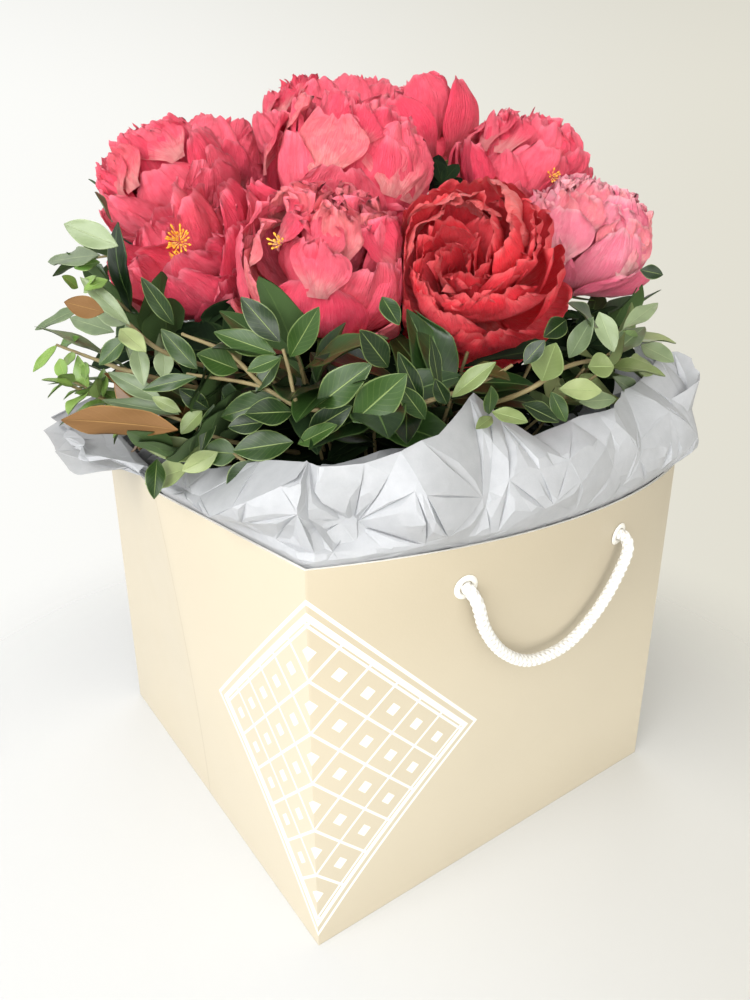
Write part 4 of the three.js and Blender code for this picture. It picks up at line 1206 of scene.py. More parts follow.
def petal_ends(petal, u, v, shift, stream):
    """How far along its rib each point of a petal lies, with a notch and lobes in its edge."""
    centre = 0.9 * (next(stream) - 0.5)
    notch = NOTCH_DEPTH * next(stream) * np.exp(-(((u - centre) / 0.13) ** 2))
    shift += [2 * math.pi * next(stream) for _ in range(6)]
    uneven = min(1, petal["ruffle"] / 0.04)
    lobes = (0.03 * np.sin(4.5 * u + shift[4]) + 0.018 * np.sin(13 * u + shift[5])) * uneven
    return v * (1 - 0.1 * np.abs(u) ** 2.2 - (notch + lobes) * smooth(v, 0.55, 1))


def petal_wave(petal, u, v, shift):
    """The waves of a petal, in shares of its bloom's reach: a slow one, a frill, dimples and pleats."""
    frill = np.sin(5 * u + shift[0]) + 0.8 * np.sin(10 * u + shift[1]) * v
    frill = frill + 0.6 * np.sin(19 * u + shift[2]) * v * v
    dimple = 0.015 * np.sin(3.2 * u + 5 * v + shift[3]) * np.sin(math.pi * v)
    pleat = 0.01 * np.sin(8 * u + shift[5]) * smooth(v, 0.1, 0.5)
    return 0.05 * v * v * np.sin(2.2 * u + petal["wave"]) + petal["ruffle"] * frill * v**3 + dimple + pleat


def petal_folds(bloom, u, v, shift):
    """The creases and the crumpling of a petal, in shares of its bloom's reach."""
    crease = np.sin(9 * u + shift[2] + 3 * v) + 0.7 * np.sin(16 * u + shift[3] + 5 * np.sin(3 * v + shift[0]))
    crease = crease + 0.5 * np.sin(28 * u + shift[1] + 4 * v)
    rough = CRUMPLE_DEPTH * (0.5 if bloom.form == "rose" else 1.0)
    rumple = crumpled(u, v, shift) + 0.4 * crumpled(2.1 * u, 1.9 * v, shift[::-1])
    return CREASE_DEPTH * crease * smooth(v, 0.15, 0.9) + rough * rumple * smooth(v, 0.1, 0.45)


def petal_grid(bloom, petal, stream):
    """A petal's points, row by row from its foot to its edge."""
    reach = bloom.reach
    u = np.linspace(-1, 1, petal["fine"])[None, :]
    v = np.linspace(0, 1, petal["fine"] * 2 // 3)[:, None] ** 0.8
    shift = []
    share = petal_ends(petal, u, v, shift, stream)
    along, *rib = petal_rib(petal, reach)
    angle, r, z = (np.interp(share, along, line) for line in rib)
    wrap = np.maximum(r, 0.3 * reach) / petal["cup"]
    turn = u * petal["width"] * reach * petal_outline(v) / 2 / wrap
    wave = reach * petal_wave(petal, u, v, shift)
    twist = PETAL_TWIST * reach * u * np.minimum(1, 2 * v)
    out = r - wrap * (1 - np.cos(turn)) + wave * np.sin(angle) + twist
    side = wrap * np.sin(turn)
    c, d = math.cos(petal["at"]), math.sin(petal["at"])
    placed = bloom.placed(out * c - side * d, out * d + side * c, z - wave * np.cos(angle))
    if bloom.name in WOUND_SHIFT and petal["count"] > 1 and petal["length"] < WOUND_LENGTH:
        placed = placed + WOUND_SHIFT[bloom.name] * reach
    grid = pressed(placed, bloom, petal["within"])
    return grid + unit(grid - bloom.middle) * (reach * petal_folds(bloom, u, v, shift))[..., None]


def crumpled(u, v, shift):
    """Wandering ridges along and across a petal, as in crushed silk, from -1 to 1."""
    lengthwise = np.abs(np.sin(4.5 * u + 1.6 * np.sin(3.1 * v + shift[0]) + shift[1]))
    rising = np.abs(np.sin(2.6 * u + 4.2 * v + 1.2 * np.sin(3 * u + shift[2]) + shift[3]))
    falling = np.abs(np.sin(3.4 * u - 5.0 * v + 1.1 * np.sin(4 * v + shift[4]) + shift[5]))
    return 1 - (0.9 * lengthwise + 0.6 * rising + 0.5 * falling)


HEART = [
    (0.02, -0.66),
    (0.16, -0.64),
    (0.3, -0.5),
    (0.34, -0.36),
    (0.28, -0.24),
    (0.12, -0.18),
    (0.01, -0.17),
]


def make_bloom(bloom, petal, core):
    """A peony head: the CAD's petals with fine edges, many more within them, and the heart behind."""
    number = int(bloom.name)
    guards = petals_of(bloom, CAD_LAYERS[bloom.form], 1000 + 37 * number, False)
    petals = guards + petals_of(bloom, FILLING[bloom.name], 5000 + 41 * number, True)
    stream = draws(9000 + 53 * number)
    sheets = Sheets()
    share = SALMON_SHARES.get(bloom.name, 0.0)
    for k, one in enumerate(petals):
        tone = next(stream)
        guard = k < len(guards)
        salmon = one.get("salmon", 0.0 if guard else 0.85 * smooth(next(stream), 0.85 - share, 1.15 - share))
        sheets.add(petal_grid(bloom, one, stream), tone=tone, salmon=salmon, pale=0.2 if guard else 0.8)
    radius, height = rings_of(HEART) * bloom.reach
    x, y, z = spun(radius * (1 + 0.08 * np.sin(5 * round_turn(24)[None, :])), height, 24)
    sheets.add(bloom.placed(x, y, z), closed=True, slot=1, tone=0.2, salmon=0, pale=0)
    name = f"peony_head_{bloom.name}"
    return sheets.piece(name, [petal, core], PETAL_SLOTS[bloom.hue], [f"peony_{bloom.name}"])


def stem_foot(x, y):
    """The waist and foot of a stem that passes the waist at a place."""
    return [np.array([x, y, WAIST_Z]), np.array([x * FOOT_SPREAD, y * FOOT_SPREAD, FOOT_Z])]


CALYX = [(0.02, -0.008), (0.06, -0.007), (0.13, -0.003), (0.16, -0.0005), (0.02, 0.0)]


def sepal_grid(bloom, index, heel):
    """A pointed sepal under a bloom: three long ones and two short ones between them."""
    at = math.radians(bloom.turn + (120 * index if index < 3 else 60 + 120 * (index - 3)))
    inner = 0.1 * bloom.reach
    long = (0.46 if index < 3 else 0.3) * bloom.reach
    u = np.linspace(-1, 1, 7)[None, :]
    v = np.linspace(0, 1, 9)[:, None]
    out = inner + (long - inner) * v
    side = u * 0.11 * bloom.reach * np.sqrt(np.maximum(1 - v**2, 0.0004))
    rise = heel - 0.0012 + 0.002 * v * v + 0.0006 * u * u
    x = out * math.cos(at) - side * math.sin(at)
    y = out * math.sin(at) + side * math.cos(at)
    return bloom.placed(x, y, rise)


def make_stem(bloom, material):
    """A peony's stem with its calyx: a green cup and pointed sepals."""
    heel = HEEL_LEVEL * bloom.reach - GAP
    lean = STEM_LEAN.get(bloom.name, (0, 0))
    waist, foot = stem_foot(*(WAIST_SHARE * bloom.middle[k] + lean[k] for k in (0, 1)))
    neck = bloom.placed(0, 0, heel - 0.004)
    below = bloom.placed(0, 0, heel - 0.034)
    path = evenly(spline_points([neck, below, waist, foot], 60), 60)
    sheets = Sheets().add(tube(path, PEONY_STEM_RADIUS, 12), closed=True)
    sheets.cap(sheets.count - 12, 12, path[-1])
    radius, height = rings_of(CALYX)
    sheets.add(bloom.placed(*spun(radius * bloom.reach, heel + height, 20)), closed=True)
    for index in range(5):
        sheets.add(sepal_grid(bloom, index, heel))
    return sheets.piece(f"peony_stem_{bloom.name}", [material], "stem", [f"stem_{bloom.name}"])


STAMEN_RADII = np.array([0.28, 0.24, 0.24, 0.24, 0.26, 0.55, 0.7, 0.6, 0.1]) * MILLIMETRE
OPEN_BLOOM = "01"
OPEN_DEPTH = 0.26
OPEN_STAMENS = dict(count=90, spread=0.75, length=0.017)


# Tufts that show between petals: bloom, pixel, how many stamens, their length, and their depth

TUFTS = {
    "near_left": ("01", (177, 238), 34, 0.0065, 0.008),
    "left_of_middle": ("09", (275, 241), 10, 0.0045, 0.004),
    "far_right": ("08", (556, 176), 10, 0.0045, 0.004),
}


def make_stamens(name, base, axis, material, count, spread, length, nodes=()):
    """A tuft of stamens: thin filaments, each with a plump anther."""
    stream = draws(300 + count)
    sheets = Sheets()
    across = unit(np.cross([0.1, 0.2, 1], axis))
    up = np.cross(axis, across)
    steps = np.linspace(0, 1, len(STAMEN_RADII))[:, None]
    anther = np.repeat((np.arange(len(STAMEN_RADII)) > 4)[:, None], 6, 1)
    for i in range(count):
        share = math.sqrt((i + 0.5) / count)
        at = GOLDEN_ANGLE * i
        long = length * (0.75 + 0.5 * next(stream))
        lean = spread * share + 0.6 * (next(stream) - 0.5)
        outward = across * math.cos(at) + up * math.sin(at)
        way = outward * math.sin(lean) + axis * math.cos(lean)
        path = base + outward * 0.5 * length * share + way * long * steps + axis * 0.1 * long * steps**2
        sheets.add(tube(path, STAMEN_RADII, 6), closed=True, anther=anther)
    return sheets.piece(name, [material], "stamen", nodes)


def make_tuft(name, material):
    """A few stamens that show between a bloom's petals, at a pixel of the photograph."""
    bloom, pixel, count, length, depth = TUFTS[name]
    bloom = HEADS[int(bloom) - 1]
    aim = unit(pixel_aim(*pixel))
    back = bloom.middle - CAMERA_PLACE
    nearest = aim @ back
    half = math.sqrt(max(bloom.reach**2 - (back @ back - nearest**2), 0))
    seen = CAMERA_PLACE + aim * (nearest - half)
    axis = unit(seen - bloom.middle)
    make_stamens(f"stamens_{name}", seen - axis * depth, axis, material, count, 0.9, length)


# Foliage: each spray's tip, waist angle in degrees, spread at the rim, kind, leaves and leafy share

SPRAYS = {
    "01": ((-0.118, -0.098, 0.340), -135, 0.086, "broad", 7, 0.5),
    "02": ((-0.088, -0.126, 0.312), -120, 0.092, "broad", 8, 0.6),
    "03": ((-0.038, -0.132, 0.322), -103, 0.096, "broad", 8, 0.6),
    "04": ((0.066, -0.158, 0.322), -76, 0.094, "round", 8, 0.65),
    "05": ((0.128, -0.124, 0.330), -54, 0.092, "round", 8, 0.65),
    "06": ((0.150, -0.102, 0.340), -8, 0.094, "broad", 7, 0.55),
    "07": ((-0.166, -0.064, 0.304), -148, 0.096, "broad", 7, 0.6),
    "08": ((-0.180, -0.066, 0.284), -160, 0.100, "broad", 6, 0.5),
    "09": ((-0.168, 0.032, 0.318), 160, 0.098, "narrow", 9, 0.6),
    "10": ((-0.170, 0.024, 0.360), 146, 0.084, "broad", 7, 0.5),
    "11": ((-0.206, 0.008, 0.314), 174, 0.104, "small", 9, 0.6),
    "12": ((-0.158, -0.040, 0.290), -172, 0.112, "bronze", 3, 0.4),
    "13": ((-0.112, 0.186, 0.420), 118, 0.088, "broad", 5, 0.6),
    "14": ((-0.014, 0.210, 0.352), 84, 0.098, "broad", 5, 0.6),
    "15": ((0.124, 0.190, 0.366), 44, 0.096, "narrow", 6, 0.6),
    "16": ((0.198, 0.066, 0.356), 16, 0.098, "broad", 5, 0.6),
}
BEND_LEVEL = 0.244
OWN_BEND_LEVELS = {"12": 0.272}
LEAVES = {
    "broad": dict(length=0.054, width=0.025, droop=0.16, waist=0.46),
    "narrow": dict(length=0.052, width=0.012, droop=0.2, waist=0.42),
    "round": dict(length=0.035, width=0.024, droop=0.08, waist=0.52),
    "bronze": dict(length=0.076, width=0.029, droop=0.18, waist=0.46),
    "small": dict(length=0.021, width=0.012, droop=0.2, waist=0.42),
}
LEAF_SLOTS = {
    "broad": "leaf",
    "narrow": "leaf_light",
    "round": "leaf_light",
    "small": "leaf_light",
    "bronze": "leaf_bronze",
}
# The sprays' broad leaves take the darker copy of their paint, as painted shade
SPRAY_PAINTS = {"broad": "deep_and_painted_shade"}
LEAF_TRIES = 10
LEAF_SAG = 0.22
LEAF_CLEARANCE = 0.0025
TWIG_CLEARANCE = 0.004
MOST_PUSH = 0.014
BEND_LEAN = 0.6
TWIG_ARCH = 0.004
BELOW_FOOT = 0.002
BOX_MARGIN = 0.002
LEAF_THICKNESS = 0.0004
NEAR_TIP = 0.0009
BACK_SPRAYS = ("13", "14", "15", "16")
FRONT_SPRAYS = ("02", "03", "04", "05")
LOWERED_ABOVE = 0.326
LOWERED_REACH = 0.05
LOWERING = 0.5
LEFT_SPRAYS = ("07", "08", "12")
RAISED_BELOW = 0.292
RAISING = 0.9
TRIMMED = {
    "06": {5: 0.6},
    "08": {2: 0.65, 4: 0.65, 5: 0.65},
    "10": {3: 0.85, 6: 0.75},
    "12": {1: 0.5, 2: 0.5},
    "13": {4: 0.6},
}
STRAY_SIDES = (52, 676)
STRAY_LEVEL = 335
HANGING_FROM = (165, 455)
COLLAR_WIDTH = 0.05
COLLAR_DROP = 0.5
FRONT_OUT = 0.012
FRONT_SLOPE = 0.7
FRONT_TOP = 0.315
FRONT_LEFT = -0.06
WALL_MARGIN = 0.006
RIM_MARGIN = 0.004


def beside_blooms(points, clearance=LEAF_CLEARANCE):
    """Moves points out of every bloom's reach."""
    for bloom in HEADS:
        away = points - bloom.middle
        far = np.linalg.norm(away, axis=-1, keepdims=True)
        least = bloom.reach + clearance
        points = np.where(far < least, bloom.middle + away / np.maximum(far, 1e-6) * least, points)
    return points


def twig_stations(name):
    """The stations of a spray's twig, from its foot through the waist to its tip."""
    tip, waist_angle, spread = SPRAYS[name][:3]
    tip, waist_angle = np.array(tip), math.radians(waist_angle)
    ahead = math.atan2(tip[1], tip[0]) - waist_angle
    towards = waist_angle + BEND_LEAN * math.atan2(math.sin(ahead), math.cos(ahead))
    level = OWN_BEND_LEVELS.get(name, BEND_LEVEL)
    bend = np.array([spread * math.cos(towards), spread * math.sin(towards), level])
    x, y = math.cos(waist_angle), math.sin(waist_angle)
    waist, foot = stem_foot(SPRAY_WAIST_RADIUS * x, SPRAY_WAIST_RADIUS * y)
    lower = foot + np.array([0, 0, -BELOW_FOOT])
    halfway = (bend + tip) / 2 + np.array([0, 0, TWIG_ARCH])
    smoothed = spline_points([lower, waist, bend, halfway, tip], 8)[3:]
    return np.array([foot, waist, *beside_blooms(smoothed)])


class Path:
    """A path that runs straight from each of its points to the next, at even shares of it."""

    def __init__(self, points):
        self.points = points

    def at(self, share):
        """The point at a share of the path."""
        place = min(max(share, 0), 1) * (len(self.points) - 1)
        i = min(int(place), len(self.points) - 2)
        return self.points[i] + (self.points[i + 1] - self.points[i]) * (place - i)

    def ahead(self, share):
        """The way the path runs at a share of it."""
        return unit(self.at(share + 0.0001) - self.at(share - 0.0001))


def facing(base, direction, across, **more):
    """A leaf's frame: its base, and unit ways along it, across it and out of its face."""
    return dict(more, base=base, direction=direction, across=across, normal=np.cross(across, direction))


def grown_frame(base, along, about, slant, lift, size):
    """The frame of a leaf that leaves a twig at a slant, turned about it, with its face to the light."""
    side = unit(np.cross(along, [0, 0, 1]))
    over = np.cross(side, along)
    outward = side * math.cos(about) + over * 0.75 * math.sin(about)
    direction = unit(along * math.cos(slant) + outward * math.sin(slant) + np.array([0, 0, lift]))
    light = np.array([base[0] / 0.6, base[1] / 0.6, 1]) + 0.5 * along
    return facing(base, direction, unit(np.cross(direction, light)), size=size)


def tilted(where, rise):
    """A leaf's frame turned up, or down, about its base."""
    direction = unit(where["direction"] + np.array([0, 0, rise]))
    return dict(where, **facing(where["base"], direction, unit(np.cross(direction, where["normal"]))))


def leaf_frame(name, path, index, tries):
    """A leaf's frame and size, as the CAD draws them at one of its tries."""
    leaves, leafy = SPRAYS[name][4:]
    stream = draws(7000 + 131 * int(name) + 17 * index)
    place = 1 - leafy * 0.5 * (1 - (index + 0.6) / leaves)
    about = GOLDEN_ANGLE * index + 0.8 * (next(stream) - 0.5) + 0.8 * tries
    slant = 0.15 if index == leaves - 1 else math.radians(48 + 22 * (next(stream) - 0.5))
    size = 0.82 + 0.36 * next(stream)
    return grown_frame(path.at(place), path.ahead(place), about, slant, 0.12 * tries, size)


def leaf_outline(v, waist):
    """Half-width of a leaf along its length: widest at its waist, drawn to a point."""
    rising = np.sin(0.5 * math.pi * np.clip(v / waist, 0, 1)) ** 0.9
    falling = np.cos(0.5 * math.pi * np.clip((v - waist) / (1 - waist), 0, 1)) ** 0.8
    return 0.5 * np.maximum(np.where(v < waist, rising, falling), 0.03)


def leaf_grid(where, leaf, stream, columns=9, rows=13):
    """A leaf's points: folded along its rib, drooping to its tip, its edge gently waved."""
    u = np.linspace(-1, 1, columns)[None, :, None]
    v = np.linspace(0, 1, rows)[:, None, None]
    length = leaf["length"] * where["size"]
    width = leaf["width"] * where["size"] * leaf_outline(v, leaf["waist"])
    wave = 0.03 * length * np.abs(u) ** 2 * np.sin(9 * v + 6 * next(stream) + 1.5 * u) * np.sin(math.pi * v)
    lift = 0.22 * width * 2 * (np.abs(u) ** 1.3) * 0.5 - leaf["droop"] * length * v**2 + wave
    grid = where["base"] + where["direction"] * length * v + where["across"] * u * width
    return grid + where["normal"] * lift


def add_leaf(sheets, grid, tone):
    """A leaf's upper and lower faces."""
    ahead, across = np.gradient(grid, axis=0), np.gradient(grid, axis=1)
    normal = unit(np.cross(across, ahead)) * LEAF_THICKNESS / 2
    sheets.add(grid + normal, tone=tone, under=0.0)
    sheets.add(grid - normal, tone=tone, under=1.0)


def in_box(points):
    """True where points lie inside the CAD's box."""
    low, high = np.array(cad_bounds[0]), np.array(cad_bounds[1])
    return bool((points > low + BOX_MARGIN).all() and (points < high - BOX_MARGIN).all())


def fits(grid):
    """True where a leaf stays low beside every bloom and needs only a small push to miss it."""
    for bloom in HEADS:
        beside = np.linalg.norm((grid - bloom.middle)[..., :2], axis=-1) < bloom.reach + COLLAR_WIDTH
        if (beside & (grid[..., 2] > bloom.middle[2] - COLLAR_DROP * bloom.reach)).any():
            return False
    push = np.linalg.norm(grid - beside_blooms(grid), axis=-1).max()
    return push <= MOST_PUSH and in_box(grid) and not over_tissue(grid)


def strays(grid):
    """True where a leaf would stand out beside the flowers further than the photograph shows."""
    away = grid - CAMERA_PLACE
    far = -(away @ TO_EYE)
    u = PHOTO_MIDDLE[0] + PHOTO_FOCUS * (away @ TO_RIGHT) / far
    v = PHOTO_MIDDLE[1] - PHOTO_FOCUS * (away @ TO_TOP) / far
    beside = ((u < STRAY_SIDES[0]) | (u > STRAY_SIDES[1])) & (v < STRAY_LEVEL)
    hanging = (u < HANGING_FROM[0]) & (v > HANGING_FROM[1])
    return bool((beside | hanging).any())


def over_tissue(grid):
    """True where a leaf would poke through or lie over the front tissue or the bag's sides."""
    x, y, z = grid[..., 0], grid[..., 1], grid[..., 2]
    ahead = y < -BAG_DEPTH / 2 - FRONT_OUT + FRONT_SLOPE * (z - BAG_HEIGHT)
    front = ahead & (z < FRONT_TOP) & (x > FRONT_LEFT)
    beside = (np.abs(x) > BAG_WIDTH / 2 - WALL_MARGIN) | (np.abs(y) > BAG_DEPTH / 2 - WALL_MARGIN)
    walled = beside & (z < BAG_HEIGHT + RIM_MARGIN)
    return bool((front | walled).any())


def cad_leaves(name, path):
    """The frames of the leaves that the CAD's spray bears, known by their tips."""
    leaf, leaves = LEAVES[SPRAYS[name][3]], SPRAYS[name][4]
    corners = np.array([corner.co[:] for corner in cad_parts[f"spray_{name}"].data.vertices])
    found = []
    for index in range(leaves):
        for tries in range(LEAF_TRIES):
            where = leaf_frame(name, path, index, tries)
            length = leaf["length"] * where["size"]
            tip = where["base"] + (where["direction"] - where["normal"] * leaf["droop"]) * length
            if np.linalg.norm(corners - beside_blooms(tip), axis=1).min() < NEAR_TIP:
                size = where["size"] * TRIMMED.get(name, {}).get(len(found), 1)
                found.append(settled(name, dict(where, size=size), leaf["length"]))
                break
    return found


def settled(name, where, length):
    """A leaf's frame, turned down where it would hide a flower and up where it would hang over the tissue."""
    if name in FRONT_SPRAYS and (where["base"] + where["direction"] * LOWERED_REACH)[2] >= LOWERED_ABOVE:
        return tilted(where, -LOWERING)
    if name in LEFT_SPRAYS and (where["base"] + where["direction"] * length)[2] <= RAISED_BELOW:
        return tilted(where, RAISING)
    return where


def make_spray(name, leaf_material, twig_material):
    """A spray: its twig, the CAD's leaves finely made, and side twigs with more of them."""
    kind = SPRAYS[name][3]
    leaf = LEAVES[kind]
    stations = twig_stations(name)
    path = Path(stations)
    stream = draws(40 + 7 * int(name))
    sheets = Sheets()
    main = evenly(spline_points(stations, 60), 60)
    add_twig(sheets, main, TWIG_RADIUS * np.linspace(1, 0.5, len(main)), 8)
    for where in cad_leaves(name, path):
        sag = LEAF_SAG * next(stream) if name in FRONT_SPRAYS else 0
        grid = leaf_grid(where, dict(leaf, droop=leaf["droop"] + sag), stream)
        add_leaf(sheets, beside_blooms(grid), next(stream))
    twigs = 5 if name in BACK_SPRAYS else 1
    for i in range(twigs):
        place = 0.6 + 0.34 * (i + next(stream)) / twigs
        reach = (0.7 + 0.5 * next(stream)) * (0.05 if kind != "small" else 0.03)
        grow_side_twig(sheets, path, place, reach, i, kind, stream)
    materials = [leaf_material, twig_material]
    return sheets.piece(f"leafy_spray_{name}", materials, LEAF_SLOTS[kind], [f"spray_{name}"])


def add_twig(sheets, points, radius, sides):
    """A twig among leaves."""
    sheets.add(tube(points, radius, sides), closed=True, slot=1, tone=0.5, under=0)


def side_route(path, share, reach, about):
    """The points of a short twig that leaves a longer one at a share of it, turned about it."""
    start = path.at(share)
    way = grown_frame(start, path.ahead(share), about, math.radians(58), -0.1, 1)["direction"]
    way = unit(way + np.array([start[0], start[1], 0]) / 0.35)
    steps = np.linspace(0, 1, 7)[:, None]
    points = start + way * reach * steps - np.array([0, 0, 0.1 * reach]) * steps**2
    return np.array([start, *beside_blooms(points[1:], TWIG_CLEARANCE)])


def grow_side_twig(sheets, path, place, reach, index, kind, stream):
    """A short twig off a longer one, with leaves along it where they fit."""
    leaf = LEAVES["broad" if kind == "bronze" else kind]
    points = side_route(path, place, reach, GOLDEN_ANGLE * index + next(stream))
    twig = Path(points)
    borne = 0
    count = int(reach / leaf["length"] * 4.5) + 3
    for i in range(count):
        share = (i + 1) / count
        slant = 0.2 if i == count - 1 else math.radians(42 + 26 * next(stream))
        turn = GOLDEN_ANGLE * i + next(stream)
        size = 0.65 + 0.4 * next(stream)
        where = grown_frame(twig.at(share), twig.ahead(min(share, 0.98)), turn, slant, 0.05, size)
        grid = leaf_grid(where, leaf, stream)
        tone = next(stream)
        if fits(grid) and not strays(grid):
            add_leaf(sheets, beside_blooms(grid), tone)
            borne += 1
    if borne > 2:
        add_twig(sheets, evenly(points, 12), 0.0009, 6)


INNER_TWIGS = 34
INNER_LEAVES = 13
INNER_LEVEL = 0.335
INNER_WAIST = 0.024
SIDE_TWIGS = 13
SIDE_LEVEL = 0.362
SIDE_SPREAD = 0.13


def inner_route(index, stream):
    """The points of a twig inside the bunch: the first ones all round, the last ones out at the right."""
    angle = GOLDEN_ANGLE * index
    spread = 0.03 + 0.115 * math.sqrt((index + 0.5) / INNER_TWIGS)
    level = INNER_LEVEL
    if index >= INNER_TWIGS:
        angle = math.radians(160 * (index - INNER_TWIGS) / (SIDE_TWIGS - 1) - 10)
        spread = SIDE_SPREAD
        level = SIDE_LEVEL
    c, d = math.cos(angle), math.sin(angle)
    tip = np.array([spread * c, spread * 1.1 * d, level - 0.03 * next(stream)])
    waist = np.array([INNER_WAIST * c, INNER_WAIST * d, WAIST_Z])
    low = np.array([0.6 * tip[0], 0.6 * tip[1], 0.22])
    points = spline_points([waist, low, tip], 12)
    return np.array([*points[:5], *beside_blooms(points[5:], TWIG_CLEARANCE)])


def make_inner_foliage(leaf_material, twig_material):
    """Leafy twigs among the stems, which fill the shade under the flowers."""
    sheets = Sheets()
    stream = draws(77)
    for i in range(INNER_TWIGS + SIDE_TWIGS):
        points = inner_route(i, stream)
        twig = Path(points)
        add_twig(sheets, evenly(points, 20), 0.0011, 6)
        for k in range(INNER_LEAVES):
            share = 0.42 + 0.58 * k / INNER_LEAVES
            slant = math.radians(55 + 35 * next(stream))
            turn = GOLDEN_ANGLE * k + next(stream)
            size = 0.9 + 0.3 * next(stream)
            where = grown_frame(twig.at(share), twig.ahead(min(share, 0.98)), turn, slant, 0, size)
            grid = leaf_grid(where, LEAVES["broad"], stream, columns=5, rows=8)
            tone = next(stream)
            if fits(grid):
                add_leaf(sheets, beside_blooms(grid), tone)
    add_shade_leaves(sheets, stream)
    return sheets.piece("inner_foliage", [leaf_material, twig_material], "leaf")


# Leaves where the photograph shows them: kind, the pixels of base and tip, and width in pixels

SEEN_LEAVES = [
    ("broad", 280, 342, 241, 297, 25), ("broad", 290, 357, 319, 307, 25), ("broad", 276, 354, 214, 332, 23),
    ("broad", 281, 355, 256, 392, 18), ("broad", 280, 358, 247, 371, 17), ("broad", 316, 407, 372, 364, 34),
    ("broad", 353, 422, 407, 374, 38), ("broad", 308, 432, 352, 406, 24), ("broad", 298, 444, 337, 425, 19),
    ("broad", 293, 412, 245, 414, 27), ("broad", 293, 442, 233, 451, 29), ("broad", 258, 461, 228, 493, 27),
    ("broad", 238, 454, 202, 451, 25), ("broad", 264, 422, 228, 427, 19), ("round", 212, 454, 140, 444, 22),
    ("round", 189, 468, 145, 484, 25), ("broad", 157, 459, 154, 499, 18), ("round", 218, 452, 182, 471, 18),
    ("round", 202, 411, 181, 434, 20), ("broad", 214, 404, 201, 452, 14), ("narrow", 179, 414, 102, 400, 15),
    ("narrow", 164, 402, 108, 372, 17), ("broad", 197, 369, 161, 329, 20), ("broad", 174, 325, 141, 277, 17),
    ("narrow", 130, 325, 80, 277, 15), ("narrow", 114, 332, 70, 318, 17), ("narrow", 82, 307, 35, 330, 12),
    ("narrow", 127, 324, 94, 308, 17), ("broad", 127, 337, 99, 365, 18), ("round", 120, 329, 146, 352, 20),
    ("narrow", 137, 344, 144, 386, 17), ("narrow", 164, 349, 164, 379, 18), ("broad", 197, 377, 142, 390, 15),
    ("broad", 238, 370, 197, 354, 27), ("broad", 209, 409, 179, 389, 18), ("broad", 283, 397, 221, 417, 27),
    ("round", 181, 412, 152, 397, 12), ("broad", 388, 367, 360, 330, 25), ("broad", 422, 404, 398, 352, 18),
    ("broad", 440, 397, 430, 335, 13), ("broad", 447, 404, 435, 379, 15), ("broad", 425, 419, 400, 385, 20),
    ("round", 452, 397, 496, 362, 20), ("broad", 524, 364, 545, 340, 17), ("narrow", 569, 358, 593, 317, 20),
    ("round", 542, 381, 556, 343, 30), ("broad", 598, 328, 568, 303, 22), ("narrow", 599, 312, 614, 352, 20),
    ("narrow", 610, 357, 645, 327, 20), ("narrow", 623, 329, 658, 303, 15), ("round", 588, 367, 614, 367, 27),
    ("round", 628, 366, 653, 367, 23), ("narrow", 641, 345, 674, 362, 20), ("round", 559, 389, 602, 391, 20),
    ("narrow", 579, 402, 616, 399, 15), ("narrow", 613, 377, 641, 397, 15), ("broad", 489, 414, 491, 386, 15),
    ("round", 492, 412, 528, 422, 18), ("round", 492, 417, 476, 429, 12), ("broad", 522, 404, 559, 422, 20),
    ("broad", 551, 392, 566, 422, 15), ("broad", 382, 297, 399, 325, 18), ("broad", 566, 320, 544, 337, 20),
    ("broad", 640, 270, 663, 275, 13), ("bronze", 178, 430, 61, 420, 33), ("bronze", 104, 312, 64, 302, 20),
    ("small", 57, 345, 33, 372, 10), ("small", 60, 346, 79, 337, 10), ("small", 72, 352, 68, 365, 10),
    ("small", 85, 362, 86, 380, 10), ("small", 78, 288, 62, 276, 12), ("small", 84, 292, 96, 276, 12),
    ("narrow", 118, 246, 64, 224, 24), ("narrow", 112, 222, 95, 192, 20), ("small", 100, 262, 74, 268, 14),
    ("small", 108, 280, 84, 290, 14), ("narrow", 100, 255, 48, 262, 16),
]
SEEN_TWIGS = [
    [(298, 407), (288, 367), (283, 349)],
    [(322, 411), (298, 407), (261, 387), (187, 374)],
    [(261, 384), (231, 355), (182, 334)],
    [(425, 402), (445, 396), (492, 377), (512, 365)],
    [(526, 391), (566, 367), (632, 359)],
    [(132, 372), (97, 360), (57, 345)],
    [(212, 436), (180, 420), (150, 410)],
    [(160, 350), (130, 325), (98, 300)],
    [(258, 470), (230, 452), (205, 446)],
]


# Shade that the photograph shows: pixel, depth inside the bunch, and size of its leaves

SHADE_SPOTS = [
    (205, 328, 0.062, 1.0),
    (188, 345, 0.062, 1.0),
    (150, 345, 0.062, 1.0),
    (225, 345, 0.062, 1.0),
    (240, 360, 0.062, 1.0),
    (188, 380, 0.050, 0.8),
    (580, 318, 0.070, 0.7),
    (397, 340, 0.090, 0.6),
    (436, 188, 0.170, 0.6),
    (442, 184, 0.150, 0.45),
    (555, 338, 0.062, 0.8),
    (588, 345, 0.062, 0.8),
    (530, 352, 0.062, 0.8),
]
BUNCH_MIDDLE = np.array([0.0, 0.02])
BUNCH_RADIUS = 0.19
SEEN_CLEARANCE = 0.001


def on_bunch(u, v, out=0.0):
    """The place at a pixel of the photograph on the round outside of the bunch, or moved out from it."""
    aim = pixel_aim(u, v)
    off = CAMERA_PLACE[:2] - BUNCH_MIDDLE
    a, b = aim[:2] @ aim[:2], aim[:2] @ off
    inside = b * b - a * (off @ off - (BUNCH_RADIUS + out) ** 2)
    return CAMERA_PLACE + aim * (-b - math.sqrt(max(inside, 0))) / a


